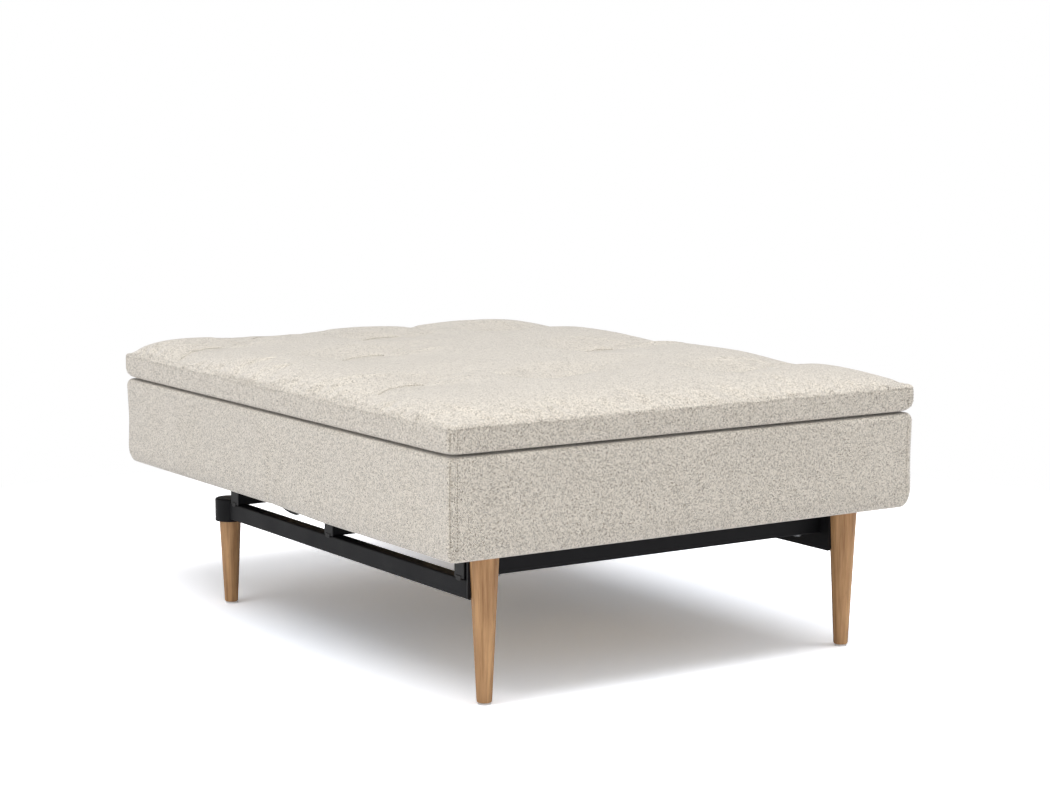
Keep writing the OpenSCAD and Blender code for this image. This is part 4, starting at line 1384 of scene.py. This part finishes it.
def loose_parts(node):
    """The points and the main flat direction of each separate solid in a frame part."""
    bm = bmesh.new()
    bm.from_mesh(frame["nodes"][node].data)
    bmesh.ops.remove_doubles(bm, verts=bm.verts, dist=SAME_POINT)
    left, parts = set(bm.verts), []
    while left:
        waiting, found = [left.pop()], []
        while waiting:
            vertex = waiting.pop()
            found.append(vertex)
            for edge in vertex.link_edges:
                other = edge.other_vert(vertex)
                if other in left:
                    left.remove(other)
                    waiting.append(other)
        areas = {}
        for face in {f for v in found for f in v.link_faces}:
            key = tuple(round(abs(c), 2) for c in face.normal)
            total, _ = areas.get(key, (0.0, None))
            areas[key] = (total + face.calc_area(), face.normal.copy())
        flat = max(areas.values(), key=lambda pair: pair[0])[1]
        parts.append((np.array([v.co for v in found]), np.array(flat)))
    bm.free()
    return sorted(parts, key=lambda part: tuple(np.round(part[0].mean(axis=0), 4)))


class CHAIRBED_OT_slats(bpy.types.Operator):
    """Springs the birch slats between the side tubes"""

    bl_idname = "chair_bed.slats"
    bl_label = "Slats"

    def execute(self, context):
        settings = context.scene.chair_bed
        wood = settings.wood
        for node in ("seat_slats", "back_slats"):
            parts = [points for points, _ in loose_parts(node)]
            low, high = parts[0].min(axis=0), parts[0].max(axis=0)
            centres = [
                (0.0, float(p[:, 1].mean()), float(p[:, 2].min()) + wood.slat / 2) for p in parts
            ]
            piece = grow(f"{node}_finished", centres, [], bowed_slats(), {
                "Half Length": float(high[0] - low[0]) / 2, "Width": float(high[1] - low[1]),
                "Thickness": wood.slat, "Bow": float(high[2] - low[2]) - wood.slat,
                "Rounding": wood.slat_edge, "Material": birch_material(settings),
            })
            shade_by_angle(piece, SMOOTH_BELOW)
            stand_for(piece, node)
        return {"FINISHED"}


# A bolt's outline from the middle of its socket to its shank: a radius, and a height from the
# face of the head, in metres. In the socket the radius is a share of half its width over the flats.
SOCKET_RINGS = ((0.0, -0.0026), (1.0, -0.0024), (1.0, -0.0003), (1.08, 0.0))
HEAD_RINGS = (
    (0.0048, -0.0001), (0.0060, -0.0005), (0.0067, -0.0012), (0.0070, -0.0022), (0.0070, -0.0042),
    (0.0068, -0.0045), (0.0040, -0.0045),
)
SHANK_R, TIP_R, TIP_T = 0.0040, 0.0035, 0.0006
BOLT_SMOOTH_BELOW = 35.0  # edges of a bolt that turn by fewer degrees are shaded smooth


class CHAIRBED_OT_bolts(bpy.types.Operator):
    """Turns the hex socket bolts of the legs, slat frames, hinge plates and back arms"""

    bl_idname = "chair_bed.bolts"
    bl_label = "Bolts"

    def execute(self, context):
        settings = context.scene.chair_bed
        for node in ("leg_bolts", "seat_frame_bolts", "hinge_plate_bolts", "back_arm_bolts"):
            tops, turns, reach = [], [], 0.0
            for points, flat in loose_parts(node):
                top, out, reach = self.measure(points, flat)
                tops.append(top)
                turns.append(Vector(out).to_track_quat("Z", "Y").to_euler())
            pattern = self.pattern(settings, reach)
            piece = grow(f"{node}_finished", tops, [], repeat_at_points(), {
                "Pattern": pattern, "Material": FINISHES[SLOT_OF[node]](settings)
            }, turns)
            bpy.data.objects.remove(pattern)
            shade_by_angle(piece, BOLT_SMOOTH_BELOW)
            stand_for(piece, node)
        return {"FINISHED"}

    def measure(self, points, flat):
        """Middle of a bolt's head, the direction that it faces, and the bolt's length."""
        middle = points.mean(axis=0)
        along = (points - middle) @ flat
        across = np.linalg.norm(points - middle - np.outer(along, flat), axis=1)
        first, last = along < along.min() + ON_PLANE, along > along.max() - ON_PLANE
        if across[last].max() < across[first].max():
            flat, along = -flat, -along
        top = middle + flat * along.max()
        return tuple(float(c) for c in top), tuple(float(c) for c in flat), float(np.ptp(along))

    def pattern(self, settings, reach, segments=24):
        """One bolt, head up, with its head's face at the origin."""
        flats = settings.steel.socket / 2
        rings = [(share * flats, z, True) for share, z in SOCKET_RINGS]
        rings += [(radius, z, False) for radius, z in HEAD_RINGS]
        rings += [(SHANK_R, TIP_T - reach, False), (TIP_R, -reach, False)]
        bm = bmesh.new()
        before = None
        for radius, z, six_sided in rings:
            ring = [bm.verts.new((0.0, 0.0, z))] if radius == 0.0 else []
            if not ring:
                for k in range(segments):
                    angle = 2 * math.pi * k / segments
                    turned = (angle + math.pi / 6) % (math.pi / 3) - math.pi / 6
                    wide = radius / math.cos(turned) if six_sided else radius
                    ring.append(bm.verts.new((wide * math.cos(angle), wide * math.sin(angle), z)))
            if before is not None:
                for k in range(segments):
                    n = (k + 1) % segments
                    if len(before) == 1:
                        bm.faces.new((before[0], ring[k], ring[n]))
                    else:
                        bm.faces.new((before[k], before[n], ring[n], ring[k]))
            before = ring
        bm.faces.new(before)
        return from_bmesh("bolt_pattern", bm)


class CHAIRBED_OT_stitches(bpy.types.Operator):
    """Sews the rows beside the corner seams and the lines that quilt the topper"""

    bl_idname = "chair_bed.stitches"
    bl_label = "Stitches"

    # Lengths in metres
    corner_gap = 0.0035  # from a corner to the row beside it
    box_margin = 0.016  # from the box's edges to the ends of its rows
    topper_margin = 0.008
    topper_tall = 0.040  # height of the topper's border that is sewn
    border_gap = 0.012  # from the sides to the nearest quilting stitch
    outside = 0.1  # from a face to where the search for the cloth starts
    above = 1.0  # height where that search starts over the topper
    proud = 0.0001  # how far a stitch stands off the cloth

    # Points that find the cloth along a row, and along each part of a quilting line
    row_steps = 24
    line_steps = 8
    # The quilting thread is drawn thicker so that it also paints the dark shade of each crease
    quilt_thickness = 1.5  # thickness of the quilting thread, in sewing threads

    def execute(self, context):
        settings = context.scene.chair_bed
        skins = [
            (self.skin("mattress_box"), BOX_FOOT, BOX_TOP, self.box_margin),
            (self.skin("topper"), TOPPER_FOOT, TOPPER_FOOT + self.topper_tall, self.topper_margin),
        ]
        self.corner_rows("front", BASE, FRONT_Y, 1.0, skins, settings)
        self.corner_rows("rear", BACK, REAR_Y, -1.0, skins, settings)
        self.quilting(skins[1][0], settings)
        return {"FINISHED"}

    def corner_rows(self, end, body, face_y, toward, skins, settings):
        """Sews the rows beside the corner seams at one end of the bed."""
        start_y = face_y - toward * self.outside
        outer, inner = HALF_W - self.corner_gap, HALF_W - settings.box.stitch_gap
        lines = []
        for x in (-inner, -outer, outer, inner):
            for skin, low, high, margin in skins:
                run, count = high - low - 2 * margin, self.row_steps
                steps = [low + margin + run * k / count for k in range(count + 1)]
                lines.append([self.land(skin, (x, start_y, z), (0.0, toward, 0.0)) for z in steps])
        piece = self.sew(f"{end}_corner_stitches", lines, settings)
        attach(piece, body)

    def quilting(self, skin, settings):
        """Sews the short lines that pull the topper down, in a thick dark thread that also paints the
        shade of their creases.
        """
        count, lines = self.line_steps, []
        for tuft in TUFTS:
            path = stitch_path(tuft, settings.topper)
            spots = [
                (a[0] + (b[0] - a[0]) * k / count, a[1] + (b[1] - a[1]) * k / count, self.above)
                for a, b in zip(path, path[1:]) for k in range(count)
            ]
            inside = [spot for spot in spots if abs(spot[0]) < HALF_W - self.border_gap]
            lines.append([self.land(skin, spot, (0.0, 0.0, -1.0)) for spot in inside])
        piece = self.sew("topper_stitches", lines, settings, self.quilt_thickness)
        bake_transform(piece)

    def skin(self, name):
        """The surface of a finished pad, for finding where a stitch meets it."""
        mesh = bpy.data.objects[name].data
        return BVHTree.FromPolygons([v.co for v in mesh.vertices], [p.vertices for p in mesh.polygons])

    def land(self, skin, start, direction):
        """Where a stitch that comes from outside meets the cloth."""
        hit = skin.ray_cast(Vector(start), Vector(direction))[0]
        if hit is None:
            raise RuntimeError(f"no cloth under a stitch at {start}")
        return tuple(hit + Vector(direction) * -self.proud)

    def sew(self, name, lines, settings, thick=1.0):
        """Sews along each line, given as its points."""
        sewing = settings.sewing
        points = [point for line in lines for point in line]
        edges, first = [], 0
        for line in lines:
            edges += [(first + k, first + k + 1) for k in range(len(line) - 1)]
            first += len(line)
        return grow(name, points, edges, stitch_rows(), {
            "Pitch": sewing.pitch, "Stitch": sewing.stitch, "Radius": sewing.radius * thick,
            "Material": thread_material(settings),
        })


class CHAIRBED_PT_panel(bpy.types.Panel):
    """Lists the steps that build the chair bed"""

    bl_label = "Chair Bed"
    bl_idname = "CHAIRBED_PT_panel"
    bl_space_type = "VIEW_3D"
    bl_region_type = "UI"
    bl_category = "Chair Bed"

    def draw(self, context):
        for step in STEPS:
            self.layout.operator(step.bl_idname, text=step.bl_label)


STEPS = [
    CHAIRBED_OT_stage,
    CHAIRBED_OT_mattress,
    CHAIRBED_OT_topper,
    CHAIRBED_OT_stitches,
    CHAIRBED_OT_base_tubes,
    CHAIRBED_OT_slat_frames,
    CHAIRBED_OT_leg_sockets,
    CHAIRBED_OT_legs,
    CHAIRBED_OT_slats,
    CHAIRBED_OT_small_fittings,
    CHAIRBED_OT_hinges,
    CHAIRBED_OT_bolts,
]

CLASSES = [
    ChairBedCloth, ChairBedTopper, ChairBedBox, ChairBedSewing, ChairBedSteel, ChairBedWood,
    ChairBedStage, ChairBedSettings, *STEPS, CHAIRBED_PT_panel,
]


def register():
    for item in CLASSES:
        bpy.utils.register_class(item)
    bpy.types.Scene.chair_bed = bpy.props.PointerProperty(type=ChairBedSettings)


def unregister():
    del bpy.types.Scene.chair_bed
    for item in reversed(CLASSES):
        bpy.utils.unregister_class(item)


def main():
    register()
    for step in STEPS:
        group, name = step.bl_idname.split(".")
        getattr(getattr(bpy.ops, group), name)()


if __name__ == "__main__":
    main()
